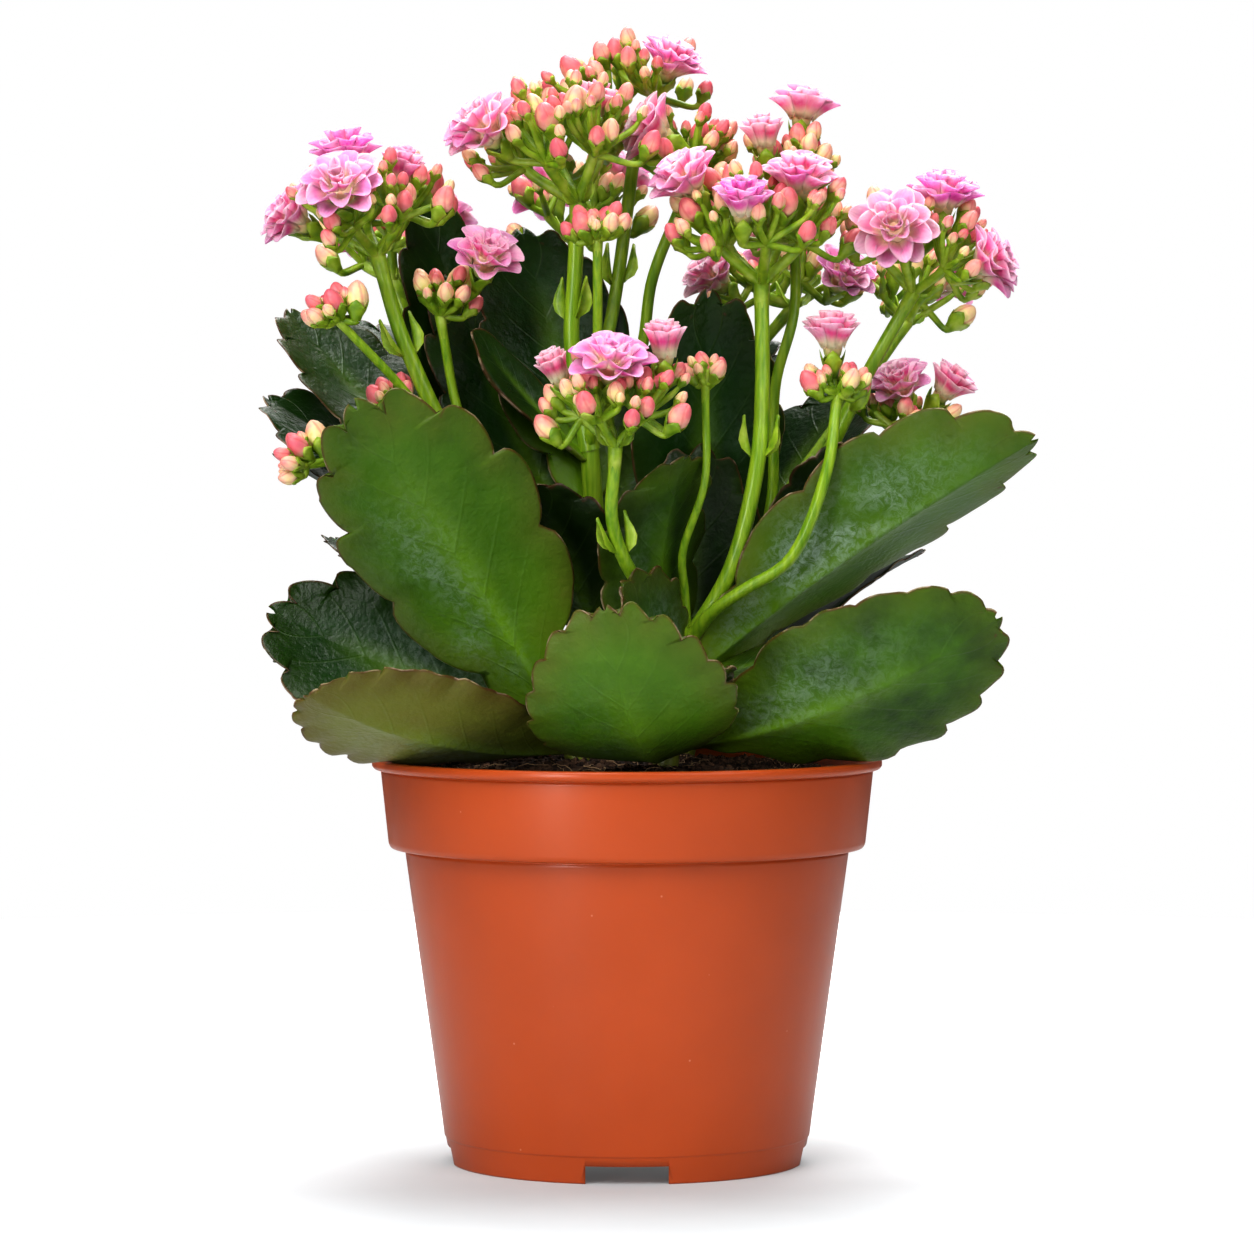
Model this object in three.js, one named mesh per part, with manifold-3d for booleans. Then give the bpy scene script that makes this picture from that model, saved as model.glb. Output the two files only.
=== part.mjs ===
// A potted flaming katy: a double pink kalanchoe with six leafy shoots, standing in a
// terracotta-coloured plastic nursery pot. Sizes are in millimetres, +Z is up, and the origin is
// the centre of the pot's foot, with the side that is usually looked at towards -Y.
import * as THREE from 'three';
import { mergeVertices } from 'three/addons/utils/BufferGeometryUtils.js';
import Module from 'manifold-3d';

const wasm = await Module();
wasm.setup();

// Pot
const RIM_RADIUS = 60;
const POT_HEIGHT = 95;
const LIP_HEIGHT = 2.4;
const COLLAR_TOP_RADIUS = 57.9;
const COLLAR_FOOT_RADIUS = 56.1;
const COLLAR_FOOT_HEIGHT = 74.2;
const BODY_TOP_RADIUS = 52.3;
const BODY_FOOT_RADIUS = 42.8;
const FOOT_RADIUS = 41.5;
const FOOT_HEIGHT = 6;
const WALL = 1.4;
const NOTCH = { width: 19, height: 4.2, count: 4 };
const DRAIN = { radius: 3.5, circle: 27, count: 5 };
const PAD_RADIUS = 9;
const POT_SIDES = 36;

// Potting soil
const SOIL_CLEARANCE = 0.5;
const SOIL_EDGE_HEIGHT = 90.5;
const SOIL_MOUND = 4;
const SOIL_LUMP = 0.7;
const SOIL_SIDES = 26;
const STEM_HOLE_CLEARANCE = 0.5;

// Plant
const JOINT_GAP = 0.55;
const CLEARANCE = 0.28;
const STEM_STEPS = 4;
const STALK_STEPS = 3;
const LEAF_THICKNESS = 1.8;
const PETIOLE_WIDTH = 4.6;
const LEAF_WIDEST = 0.6;
const LEAF_FOLD = 0.16;
const LOBE_DEPTH = 0.1;
const PETAL_THICKNESS = 0.8;
const PETAL_WIDEST = 0.6;
const TUBE_RADIUS = 1.5;
const BUD_LENGTH = 7.2;
const BUD_RADIUS = 0.38;
const TWIG_RADIUS = 0.6;
const BUD_TRIES = 6;
const KNOB_RISE = 1.1;
const KNOB_TOP = 0.6;
const GOLDEN_ANGLE = 2.39996;

const COLOURS = {
  pot: { color: '#c4562b', roughness: 0.45, metalness: 0 },
  soil: { color: '#3a281d', roughness: 1, metalness: 0 },
  green: { color: '#3f6b1f', roughness: 0.42, metalness: 0 },
  bud: { color: '#e58f7d', roughness: 0.5, metalness: 0 },
  bloom: { color: '#ec9ad2', roughness: 0.55, metalness: 0 },
};

const vec = (p) => new THREE.Vector3(...p);
const along = (p, direction, distance) => p.clone().addScaledVector(direction, distance);

// A repeatable number from -1 to 1 for the k-th irregularity of the i-th piece.
function jitter(i, k) {
  const s = Math.sin(i * 12.9898 + k * 78.233) * 43758.5453;
  return 2 * (s - Math.floor(s)) - 1;
}

// Two directions at right angles to z and to each other, which z turns anticlockwise.
function frameAround(z) {
  const side = Math.abs(z.z) < 0.9 ? new THREE.Vector3(0, 0, 1) : new THREE.Vector3(0, 1, 0);
  const x = side.cross(z).normalize();
  return [x, z.clone().cross(x)];
}

// Solids

function solidOf(geometry) {
  const plain = geometry.clone().deleteAttribute('normal').deleteAttribute('uv');
  const merged = mergeVertices(plain, 1e-4);
  const triangles = [];
  for (let i = 0; i < merged.index.count; i += 3) {
    const [a, b, c] = merged.index.array.slice(i, i + 3);
    if (a !== b && b !== c && c !== a) triangles.push(a, b, c);
  }
  return new wasm.Manifold(new wasm.Mesh({
    numProp: 3,
    vertProperties: new Float32Array(merged.attributes.position.array),
    triVerts: new Uint32Array(triangles),
  }));
}

const solidFrom = (points, triangles) =>
  solidOf(new THREE.BufferGeometry().setFromPoints(points).setIndex(triangles.flat()));

function geometryOf(solid) {
  const { vertProperties, triVerts } = solid.getMesh();
  return new THREE.BufferGeometry()
    .setAttribute('position', new THREE.BufferAttribute(new Float32Array(vertProperties), 3))
    .setIndex(new THREE.BufferAttribute(new Uint32Array(triVerts), 1));
}

const joined = (solids) => wasm.Manifold.union(solids);

function largest(solid) {
  return solid.decompose().reduce((a, b) => (a.volume() > b.volume() ? a : b));
}

// A closed skin over rings of points, each ring anticlockwise about the way the rings follow each
// other. A ring of one point closes an end, and any other end is capped.
function skin(rings) {
  const points = rings.flat();
  const triangles = [];
  let start = 0;
  rings.forEach((ring, r) => {
    const next = rings[r + 1];
    if (!next) return;
    const [n, m] = [ring.length, next.length];
    const after = start + n;
    for (let i = 0; i < Math.max(n, m); i++) {
      const [a, b] = [start + (i % n), start + ((i + 1) % n)];
      const [d, c] = [after + (i % m), after + ((i + 1) % m)];
      if (n > 1) triangles.push([a, b, c]);
      if (m > 1) triangles.push([a, c, d]);
    }
    start = after;
  });
  const last = rings.at(-1).length;
  for (let i = 1; i < rings[0].length - 1; i++) triangles.push([0, i + 1, i]);
  for (let i = 1; i < last - 1; i++) triangles.push([start, start + i, start + i + 1]);
  return solidFrom(points, triangles);
}

function ringAround(centre, x, y, radius, sides, phase = 0) {
  return Array.from({ length: sides }, (_, i) => {
    const angle = phase + (2 * Math.PI * i) / sides;
    return along(along(centre, x, radius * Math.cos(angle)), y, radius * Math.sin(angle));
  });
}

// Rings of [middle, radius] that taper along a smooth curve through the points of a path.
function ringsAlong(path, [from, to], steps) {
  const curve = new THREE.CatmullRomCurve3(path.map(vec));
  return curve.getSpacedPoints(steps).map((p, i) => [p, THREE.MathUtils.lerp(from, to, i / steps)]);
}

// A closed skin that starts from a flat foot and forks. A twig runs through its rings of
// [middle, radius] to a pointed tip, or to a knob whose faces the next twigs grow out of. Grown
// twigs, leaves and flowers are the same pieces with that much more all round, to cut with.
function forked(trunk, sides, grown = 0) {
  const points = [];
  const triangles = [];
  const addRing = (face, middle, way, radius) => {
    const [x, y] = frameAround(way);
    const centre = middleOf(face);
    const turn = new THREE.Vector2();
    face.forEach((index, k) => {
      const spoke = points[index].clone().sub(centre);
      const angle = Math.atan2(spoke.dot(y), spoke.dot(x)) - (2 * Math.PI * k) / face.length;
      turn.add(new THREE.Vector2(Math.cos(angle), Math.sin(angle)));
    });
    points.push(...ringAround(middle, x, y, radius + grown, face.length, turn.angle()));
    return face.map((_, k) => points.length - face.length + k);
  };
  const middleOf = (face) =>
    face.reduce((sum, index) => sum.add(points[index]), new THREE.Vector3()).divideScalar(face.length);
  const sidesBetween = (low, high) => low.map((a, k) => {
    const m = (k + 1) % low.length;
    return [a, low[m], high[m], high[k]];
  });
  const close = (face) => {
    for (let k = 1; k < face.length - 1; k++) triangles.push([face[0], face[k], face[k + 1]]);
  };
  const fitOf = (face, twig) => {
    const [p, q, r] = face.map((index) => points[index]);
    const normal = q.clone().sub(p).cross(r.clone().sub(q)).normalize();
    return twig.rings[0][0].clone().sub(middleOf(face)).normalize().dot(normal);
  };
  // Shares the faces out so that the twigs leave them as squarely as they can.
  const share = (faces, twigs, chosen = []) => {
    const t = chosen.length;
    if (t === twigs.length) return { fit: 0, chosen };
    return faces.map((face, f) => {
      if (chosen.includes(f)) return { fit: -Infinity };
      const rest = share(faces, twigs, [...chosen, f]);
      return { ...rest, fit: rest.fit + fitOf(face, twigs[t]) };
    }).reduce((a, b) => (a.fit >= b.fit ? a : b));
  };
  const spread = (faces, twigs) => {
    const { chosen } = share(faces, twigs);
    faces.forEach((face, f) => {
      if (chosen.includes(f)) growFrom(face, twigs[chosen.indexOf(f)]);
      else close(face);
    });
  };
  const growFrom = (start, { rings, tip, twigs }) => {
    let face = start;
    let from = middleOf(face);
    let way;
    rings.forEach(([middle, radius], i) => {
      way = (rings[i + 1]?.[0] ?? middle).clone().sub(from).normalize();
      const next = addRing(face, middle, way, radius);
      sidesBetween(face, next).forEach(close);
      face = next;
      from = middle;
    });
    if (tip) {
      points.push(along(tip, way, grown));
      face.forEach((a, k) => triangles.push([a, face[(k + 1) % face.length], points.length - 1]));
    } else if (twigs) {
      const radius = rings.at(-1)[1];
      const top = addRing(face, along(from, way, KNOB_RISE * radius), way, KNOB_TOP * radius);
      spread([...sidesBetween(face, top), top], twigs);
    } else {
      close(face);
    }
  };
  const [foot, radius] = trunk.rings[0];
  const way = trunk.rings[1][0].clone().sub(foot).normalize();
  const [x, y] = frameAround(way);
  points.push(...ringAround(along(foot, way, -grown), x, y, radius + grown, sides));
  const start = points.map((_, k) => k);
  close(start.toReversed());
  growFrom(start, { ...trunk, rings: trunk.rings.slice(1) });
  return solidFrom(points, triangles);
}

// Where a limb's curve first reaches a height.
function pointAtHeight(path, height) {
  const curve = new THREE.CatmullRomCurve3(path.map(vec));
  let [low, high] = [0, 1];
  for (let i = 0; i < 24; i++) {
    const middle = (low + high) / 2;
    if (curve.getPointAt(middle).z < height) low = middle;
    else high = middle;
  }
  return curve.getPointAt(high);
}

function lathe(profile, sides) {
  const points = profile.map(([radius, height]) => new THREE.Vector2(radius, height));
  return new THREE.LatheGeometry(points, sides).rotateX(Math.PI / 2);
}

// Pot: one moulding, with a rolled lip, a straight collar, a tapered wall, a floor that stands
// above the ground on a foot ring and a middle pad, and notches in the ring that let water out.

function makePot() {
  const floor = FOOT_HEIGHT - 1.2;
  const profile = [
    [0, 0],
    [PAD_RADIUS, 0],
    [PAD_RADIUS, floor],
    [FOOT_RADIUS - 1.9, floor],
    [FOOT_RADIUS - 1.7, 0],
    [FOOT_RADIUS, 0],
    [BODY_FOOT_RADIUS, FOOT_HEIGHT],
    [BODY_TOP_RADIUS, COLLAR_FOOT_HEIGHT - 0.6],
    [COLLAR_FOOT_RADIUS - 0.6, COLLAR_FOOT_HEIGHT],
    [COLLAR_FOOT_RADIUS, COLLAR_FOOT_HEIGHT + 0.9],
    [COLLAR_TOP_RADIUS, POT_HEIGHT - LIP_HEIGHT],
    [RIM_RADIUS - 0.3, POT_HEIGHT - LIP_HEIGHT + 0.2],
    [RIM_RADIUS, POT_HEIGHT - 1.2],
    [RIM_RADIUS - 0.7, POT_HEIGHT],
    [COLLAR_TOP_RADIUS - 0.9, POT_HEIGHT],
    [COLLAR_FOOT_RADIUS - WALL, COLLAR_FOOT_HEIGHT + WALL + 0.6],
    [BODY_TOP_RADIUS - WALL, COLLAR_FOOT_HEIGHT + 0.4],
    [BODY_FOOT_RADIUS - WALL, FOOT_HEIGHT + 0.6],
    [0, FOOT_HEIGHT + 0.3],
  ];
  const shell = solidOf(lathe(profile, POT_SIDES));
  const cuts = [];
  for (let i = 0; i < NOTCH.count; i++) {
    const block = new THREE.BoxGeometry(NOTCH.width, 8, 2 * NOTCH.height)
      .translate(0, -FOOT_RADIUS, 0)
      .rotateZ((2 * Math.PI * i) / NOTCH.count);
    cuts.push(solidOf(block));
  }
  for (let i = 0; i < DRAIN.count; i++) {
    const hole = new THREE.CylinderGeometry(DRAIN.radius, DRAIN.radius, 10, 8)
      .rotateX(Math.PI / 2)
      .translate(DRAIN.circle, 0, FOOT_HEIGHT)
      .rotateZ((2 * Math.PI * (i + 0.5)) / DRAIN.count);
    cuts.push(solidOf(hole));
  }
  return shell.subtract(joined(cuts));
}

// Soil: fills the pot to just under its lip, mounded a little round the stems.

function soilHeight(x, y) {
  const inward = 1 - Math.min(1, Math.hypot(x, y) / COLLAR_TOP_RADIUS);
  const lumps = Math.sin(0.31 * x + 1.7) * Math.cos(0.27 * y) + Math.sin(0.17 * x - 0.23 * y);
  return SOIL_EDGE_HEIGHT + SOIL_MOUND * Math.sin((Math.PI / 2) * inward) + SOIL_LUMP * lumps;
}

function makeSoil(stems) {
  const gap = WALL + SOIL_CLEARANCE;
  const edge = COLLAR_TOP_RADIUS - 0.3 - gap;
  const profile = [
    [0, FOOT_HEIGHT + 0.7],
    [BODY_FOOT_RADIUS - gap, FOOT_HEIGHT + 1],
    [BODY_TOP_RADIUS - gap, COLLAR_FOOT_HEIGHT + 0.9],
    [COLLAR_FOOT_RADIUS - gap, COLLAR_FOOT_HEIGHT + 3],
    ...[1, 0.84, 0.6, 0.3, 0].map((share) => [share * edge, SOIL_EDGE_HEIGHT]),
  ];
  const ground = lathe(profile, SOIL_SIDES);
  const places = ground.attributes.position;
  for (let i = 0; i < places.count; i++) {
    const [x, y, z] = [places.getX(i), places.getY(i), places.getZ(i)];
    if (z > SOIL_EDGE_HEIGHT - 1) places.setZ(i, soilHeight(x, y));
  }
  const holes = stems.map(({ path, radii }) =>
    forked({ rings: ringsAlong(path, radii, STEM_STEPS) }, 6, STEM_HOLE_CLEARANCE));
  return solidOf(ground).subtract(joined(holes));
}

// Leaves: fleshy spoon-shaped blades, wedge-shaped at the stalk and scalloped round the front.

// The half outline of a leaf as [share of the length, share of the half width], from tip to stalk.
function leafOutline(width) {
  const lobes = width > 18 ? 5 : 3;
  const lobe = (0.8 * Math.PI) / lobes;
  const shares = width > 43 ? [0.22, 0.5, 0.78] : [0.5, 1];
  const angles = Array.from({ length: lobes }, (_, i) => shares.map((share) => (i + share) * lobe)).flat();
  return [...angles, 0.9 * Math.PI].map((angle) => {
    const notched = Math.abs((angle / lobe) % 1 - 0.5) < 0.01 && angle < 0.8 * Math.PI;
    const reach = notched ? 1 - LOBE_DEPTH : 1;
    const forward = Math.cos(angle) > 0;
    const length = LEAF_WIDEST + Math.cos(angle) * (forward ? 1 - LEAF_WIDEST : LEAF_WIDEST);
    return [length, reach * Math.sin(angle) ** (forward ? 0.9 : 2.2)];
  });
}

function leaf(base, [tip, face, width, arch], grown = 0) {
  const run = vec(tip).sub(base);
  const up = vec(face).projectOnPlane(run.clone().normalize()).normalize();
  const right = run.clone().cross(up).normalize();
  const middle = (t) => along(along(base, run, t), up, 4 * arch * t * (1 - t));
  const rings = leafOutline(width).map(([t, share]) => {
    const half = Math.max((share * width) / 2, PETIOLE_WIDTH / 2) + grown;
    const thick = (LEAF_THICKNESS / 2) * Math.min(1, 0.45 + 2 * (1 - t)) + grown;
    const rib = middle(t);
    const lift = LEAF_FOLD * half;
    return [
      along(along(rib, right, half), up, lift),
      along(rib, up, thick),
      along(along(rib, right, -half), up, lift),
      along(rib, up, -thick),
    ];
  });
  const foot = [[1, 0], [0, 1], [-1, 0], [0, -1]].map(([x, y]) =>
    along(along(base, right, x * (PETIOLE_WIDTH / 4 + grown)), up, y * (LEAF_THICKNESS / 2 + grown)));
  return skin([[along(middle(1), run.normalize(), grown)], ...rings, foot]);
}

// The leafy shoots. A leaf is [height of its node on the stem, [tip, the way its upper side
// looks, width, arch]], and a flower stalk ends under the head of that name.
const SHOOTS = {
  shoot_front: {
    stem: { path: [[8, -14, 78], [9, -14, 94], [12, -13, 110], [14.5, -12, 125]], radii: [3.2, 2.5] },
    leaves: [
      [99, [[83, -49, 129], [-0.15, 0.85, 0.5], 46, -9]],
      [113, [[95, -24, 170], [-0.35, 1.15, 0.5], 48, 5]],
      [99, [[19, -42, 116], [0, -0.5, 0.85], 22, 2]],
      [115, [[41, -21, 125], [-0.1, 0, 1.05], 14, -4]],
      [97, [[18, 1, 167], [0.05, 0.85, 0.4], 34, 3]],
      [109, [[-1, -35, 136], [0.1, -0.7, 0.65], 28, 2]],
      [99, [[-5, -66, 131], [0, 0.67, 0.74], 47, -12]],
      [108, [[13, -30, 165], [-0.9, 1, 0.3], 32, 8]],
    ],
    stalks: {
      centre_front: { path: [[9.5, -18, 130.5], [1, -28, 139], [-3.4, -34, 151], [-2.8, -38, 164]], radii: [1.7, 1.45] },
      right_middle: { path: [[20, -13, 131.5], [25, -16, 142], [30.3, -18, 165], [31.4, -15, 182.5], [31.3, -12, 202]], radii: [2, 1.7] },
      right_small: { path: [[20, -18, 130], [27, -21, 135], [37.5, -23, 142], [46, -25, 162.6], [48.3, -22, 178]], radii: [1.5, 1.3] },
      centre_buds: { path: [[13.5, -14, 134], [12.8, -17, 143], [17.9, -24, 160], [18, -27, 180]], radii: [1, 0.9] },
    },
  },
  shoot_left: {
    stem: { path: [[-10, -10, 78], [-11, -10, 94], [-22, -8, 120], [-34, -6, 148], [-40, -5, 167]], radii: [3.2, 2.2] },
    leaves: [
      [99, [[-61, -44, 176], [0.1, 0.95, 0.2], 46, 5]],
      [98, [[-71, -58, 112], [0.1, 0.6, 0.8], 44, -5]],
      [99, [[-83, 4, 129], [-0.35, -0.75, 0.55], 40, -3]],
      [136, [[-84, 1, 179], [0.85, -0.7, 0.8], 36, 2]],
      [154, [[-80, 14, 200], [0.8, -0.6, 0.35], 39, -2]],
    ],
    stalks: {
      left_large: { path: [[-42.5, -5, 171.5], [-46.2, -6, 179], [-53.2, -7, 195.6], [-57.1, -8, 209]], radii: [1.9, 1.7] },
      left_buds: { path: [[-44, -9, 171], [-52.7, -17, 182.4], [-65, -25, 195.5]], radii: [1.1, 1] },
      left_inner: { path: [[-39, -2, 173], [-41, -1, 182], [-43.2, -4, 195.6]], radii: [1.2, 1.1] },
      left_low_buds: { path: [[-44, -8, 167], [-57, -15, 166], [-72, -22, 164]], radii: [1, 0.9] },
      left_hidden_buds: { path: [[-44, -3, 168], [-49, -1, 171], [-54, -1, 177]], radii: [1, 0.9] },
    },
  },
  shoot_centre: {
    stem: { path: [[-2, 6, 78], [-2, 6, 94], [-6, 4, 130], [-9, 0, 170]], radii: [3, 2.3] },
    leaves: [
      [127, [[-42, 17, 208], [0.1, -1.15, 0.25], 30, 2]],
      [150, [[-25, 16, 219], [0.25, -0.95, 0.65], 36, 2]],
      [165, [[-36, -11, 195], [-0.2, -0.75, 1.05], 13, -2]],
      [138, [[6, 30, 189], [-0.05, -0.5, 0.1], 34, -3]],
      [116, [[-21, -13, 159], [0.3, 0.7, 0.35], 30, 1]],
    ],
    stalks: {
      centre_large: { path: [[-10.5, -0.5, 176], [-13, -3, 193], [-12.3, -4, 207], [-11.6, -5, 221]], radii: [2, 1.8] },
      centre_small: { path: [[-8.5, -4, 174], [-7, -12, 190], [-6.8, -20, 214]], radii: [1.2, 1.1] },
      top_large: { path: [[-9, 3.5, 175], [-3.5, 10, 200], [2, 20, 240]], radii: [1.6, 1.5] },
      top_right: { path: [[-5.5, 1.5, 174], [3, 5, 190], [6, 5, 208], [13, 6, 226]], radii: [1.4, 1.3] },
    },
  },
  shoot_right: {
    stem: { path: [[12, 14, 78], [13, 14, 94], [24, 12, 125], [34, 8, 150]], radii: [3, 2.3] },
    leaves: [
      [127, [[84, 19, 172], [-0.5, 0.15, 0.75], 34, 0]],
      [114, [[19, -4, 203], [0.15, -0.75, 0.5], 36, -5]],
      [141, [[59, -1, 169], [-0.15, 0.8, 1.2], 23, -1]],
      [98, [[80, 38, 117], [-0.2, 0, 1], 46, 5]],
      [106, [[70, 52, 142], [-0.4, -0.2, 0.9], 44, 4]],
      [120, [[84, 30, 158], [-0.5, 0, 0.8], 42, 4]],
      [136, [[57, 51, 184], [-0.6, -0.5, 0.6], 38, 3]],
    ],
    stalks: {
      right_back: { path: [[34.5, 6.5, 158], [35, 2, 183], [39.4, 3, 200.5], [39, 10, 228]], radii: [1.3, 1.2] },
      right_large: { path: [[38, 4.5, 154.5], [45, 1, 163], [57, -2, 186.4], [65.3, 0, 201]], radii: [1.8, 1.5] },
      right_low: { path: [[40.5, 8.5, 151.5], [53, 9, 156], [64, 8, 167]], radii: [1.3, 1.2] },
      far_right: { path: [[36.5, 13, 155], [51, 23, 175], [66, 36, 196]], radii: [1.4, 1.3] },
    },
  },
  shoot_left_back: {
    stem: { path: [[-14, 16, 78], [-15, 17, 94], [-24, 26, 125], [-36, 34, 160]], radii: [3, 2.2] },
    leaves: [
      [151, [[-49, 17, 227], [0.3, -0.7, 0.7], 30, 3]],
      [97, [[-84, 40, 116], [0.1, 0.05, 1.05], 46, 5]],
      [104, [[-40, 78, 117], [-0.15, 0.35, 1.2], 46, 6]],
      [112, [[-72, 56, 146], [0.4, -0.3, 0.8], 42, 4]],
      [124, [[-84, 24, 166], [0.5, 0, 0.8], 40, 4]],
      [136, [[-28, 74, 178], [0.2, -0.6, 0.7], 38, 4]],
      [144, [[-66, 61, 199], [0.55, -0.55, 0.75], 34, 2]],
    ],
    stalks: {
      far_left: { path: [[-38, 34, 166], [-46, 34, 180], [-55, 34, 205]], radii: [1.7, 1.5] },
    },
  },
  shoot_back: {
    stem: { path: [[4, 24, 78], [4, 25, 94], [4, 36, 125], [4, 40, 165]], radii: [3, 2.2] },
    leaves: [
      [99, [[2, 88, 113], [0, 0, 1], 46, 5]],
      [105, [[46, 81, 119], [0, 0, 1.05], 43, 6]],
      [116, [[-30, 80, 148], [0, -0.4, 0.9], 40, 4]],
      [120, [[38, 82, 152], [0, -0.4, 0.9], 40, 4]],
      [136, [[6, 84, 178], [0, -0.6, 0.8], 38, 4]],
      [152, [[34, 66, 196], [-0.3, -0.5, 0.7], 30, 3]],
    ],
    stalks: {
      back_large: { path: [[2.5, 41, 171], [-6, 46, 190], [-12, 48, 215]], radii: [1.7, 1.5] },
      back_right: { path: [[7.5, 40, 169], [22, 42, 182], [38, 42, 200]], radii: [1.6, 1.4] },
    },
  },
};

// The flower heads: loose domes of buds on forked branches, with the first flowers open. Each has
// the way it leans, the dome's radius and height, its number of buds, and its open flowers as
// [middle, the way it looks, radius, how far it is open].
const HEADS = {
  left_large: {
    turn: 0.5, lean: [-0.2, -0.1, 1], radius: 23, height: 27, buds: 17,
    blooms: [
      [[-66, -26, 228], [-0.15, -0.75, 0.65], 10.5, 1],
      [[-66, -9, 238], [-0.1, -0.1, 1], 9.5, 0.8],
      [[-79, -13, 222], [-0.8, -0.35, 0.5], 9, 0.8],
      [[-52, -13, 234], [0.25, -0.2, 1], 8.5, 0.5],
    ],
  },
  left_buds: { turn: 0.5, lean: [-0.5, -0.1, 0.8], radius: 8, height: 9, buds: 5, blooms: [] },
  left_inner: {
    turn: 0.5, lean: [0.1, -0.1, 1], radius: 9, height: 14, buds: 5,
    blooms: [[[-32.4, -14, 213], [0.25, -0.6, 0.75], 9.5, 0.9]],
  },
  left_low_buds: { turn: 0.8, lean: [-0.8, -0.1, 0.5], radius: 7, height: 8, buds: 4, blooms: [] },
  left_hidden_buds: { turn: 0.5, lean: [-0.2, -0.1, 1], radius: 7, height: 7, buds: 4, blooms: [] },
  centre_large: {
    turn: 5.5, lean: [-0.2, -0.05, 1], radius: 24, height: 34, buds: 22,
    blooms: [
      [[-34, -18, 242.5], [-0.6, -0.45, 0.65], 10.5, 0.9],
      [[-7, -6, 250], [0.3, -0.1, 1], 8, 0.5],
    ],
  },
  centre_small: { turn: 1.1, lean: [0, -0.1, 1], radius: 8, height: 9, buds: 5, blooms: [] },
  top_large: {
    turn: 0.5, lean: [-0.25, 0, 1], radius: 23, height: 25, buds: 15,
    blooms: [[[11, 14, 261], [0.4, -0.3, 0.9], 9, 0.8]],
  },
  top_right: {
    turn: 0.5, lean: [0.05, 0, 1], radius: 13, height: 22, buds: 8,
    blooms: [[[4.5, 0, 243.5], [-0.85, -0.15, 0.5], 10, 0.8]],
  },
  right_back: {
    turn: 1.1, lean: [0.05, 0.05, 1], radius: 12, height: 15, buds: 6,
    blooms: [
      [[32, 1, 243], [-0.1, -0.1, 1], 8, 0.5],
      [[42, 14, 250], [0.15, 0.1, 1], 9, 0.8],
    ],
  },
  right_middle: {
    turn: 6.1, lean: [-0.05, -0.05, 1], radius: 25, height: 31, buds: 22,
    blooms: [
      [[12.6, -18, 231], [-0.55, -0.35, 0.75], 10, 0.8],
      [[26.5, -31, 225.5], [0, -0.35, 0.95], 9, 0.6],
      [[40, -20, 231.5], [0.1, -0.25, 1], 10, 0.8],
    ],
  },
  right_large: {
    turn: 1.8, lean: [0.25, -0.05, 1], radius: 21, height: 26, buds: 12,
    blooms: [
      [[62, -14, 219], [-0.1, -0.9, 0.35], 10.5, 1],
      [[74.5, -3, 228.5], [0.1, -0.2, 1], 9.5, 0.8],
      [[86, -7, 211.5], [0.85, -0.3, 0.4], 9.5, 0.8],
    ],
  },
  right_small: {
    turn: 0.5, lean: [0, 0, 1], radius: 8, height: 9, buds: 5,
    blooms: [[[47.4, -22, 195.5], [0, -0.15, 1], 9, 0.6]],
  },
  right_low: {
    turn: 4.1, lean: [0.2, -0.1, 1], radius: 13, height: 15, buds: 6,
    blooms: [
      [[64, 2, 184], [-0.3, -0.5, 0.85], 8.5, 0.8],
      [[77, 5, 184], [0.6, -0.2, 0.75], 8, 0.6],
    ],
  },
  centre_front: {
    turn: 0.5, lean: [0, -0.1, 1], radius: 18, height: 25, buds: 16,
    blooms: [
      [[-3.5, -47, 187.5], [0.03, -0.5, 0.87], 10, 1],
      [[-17, -42, 187], [-0.45, -0.2, 0.9], 7.5, 0.3],
      [[8.5, -41, 193], [0, -0.2, 1], 8.5, 0.4],
    ],
  },
  centre_buds: { turn: 0.5, lean: [0.1, 0, 1], radius: 5, height: 9, buds: 3, blooms: [] },
  far_left: {
    turn: 1.5, lean: [-0.1, 0.3, 1], radius: 20, height: 22, buds: 7,
    blooms: [
      [[-64, 44, 221], [-0.4, 0.5, 0.8], 10, 0.9],
      [[-46, 46, 226], [0.2, 0.5, 0.85], 9.5, 0.8],
    ],
  },
  back_large: {
    turn: 0.5, lean: [0, 0.3, 1], radius: 21, height: 23, buds: 7,
    blooms: [
      [[-20, 62, 233], [-0.3, 0.6, 0.75], 10, 0.9],
      [[-2, 58, 237], [0.3, 0.3, 0.9], 9.5, 0.8],
    ],
  },
  back_right: {
    turn: 0.5, lean: [0, 0.2, 1], radius: 22, height: 18, buds: 7,
    blooms: [
      [[20, 30, 211], [-0.6, -0.4, 0.6], 9, 0.8],
      [[53, 30, 211], [0.4, -0.6, 0.6], 9, 0.8],
      [[38, 60, 216], [0, 0.6, 0.8], 10, 0.9],
    ],
  },
  far_right: {
    turn: 0.5, lean: [0.2, 0.3, 1], radius: 17, height: 20, buds: 6,
    blooms: [[[78, 46, 211], [0.6, 0.5, 0.6], 10, 0.9]],
  },
};

// Open flowers: a tube that opens into two whorls of pointed petals, in one skin.

// The middle of the petals' edge is given, and the tube stands on its calyx behind it.
function bloomParts([middle, face, radius, open]) {
  const z = vec(face).normalize();
  const [x, y] = frameAround(z);
  const slope = THREE.MathUtils.lerp(1.15, 0.22, open);
  const centre = along(vec(middle), z, -0.45 * radius * Math.sin(slope));
  const foot = along(centre, z, -0.55 * radius);
  const count = open < 0.7 ? 4 : 5 + (radius > 9.6);
  return { x, y, z, slope, centre, foot, radius, count };
}

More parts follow.
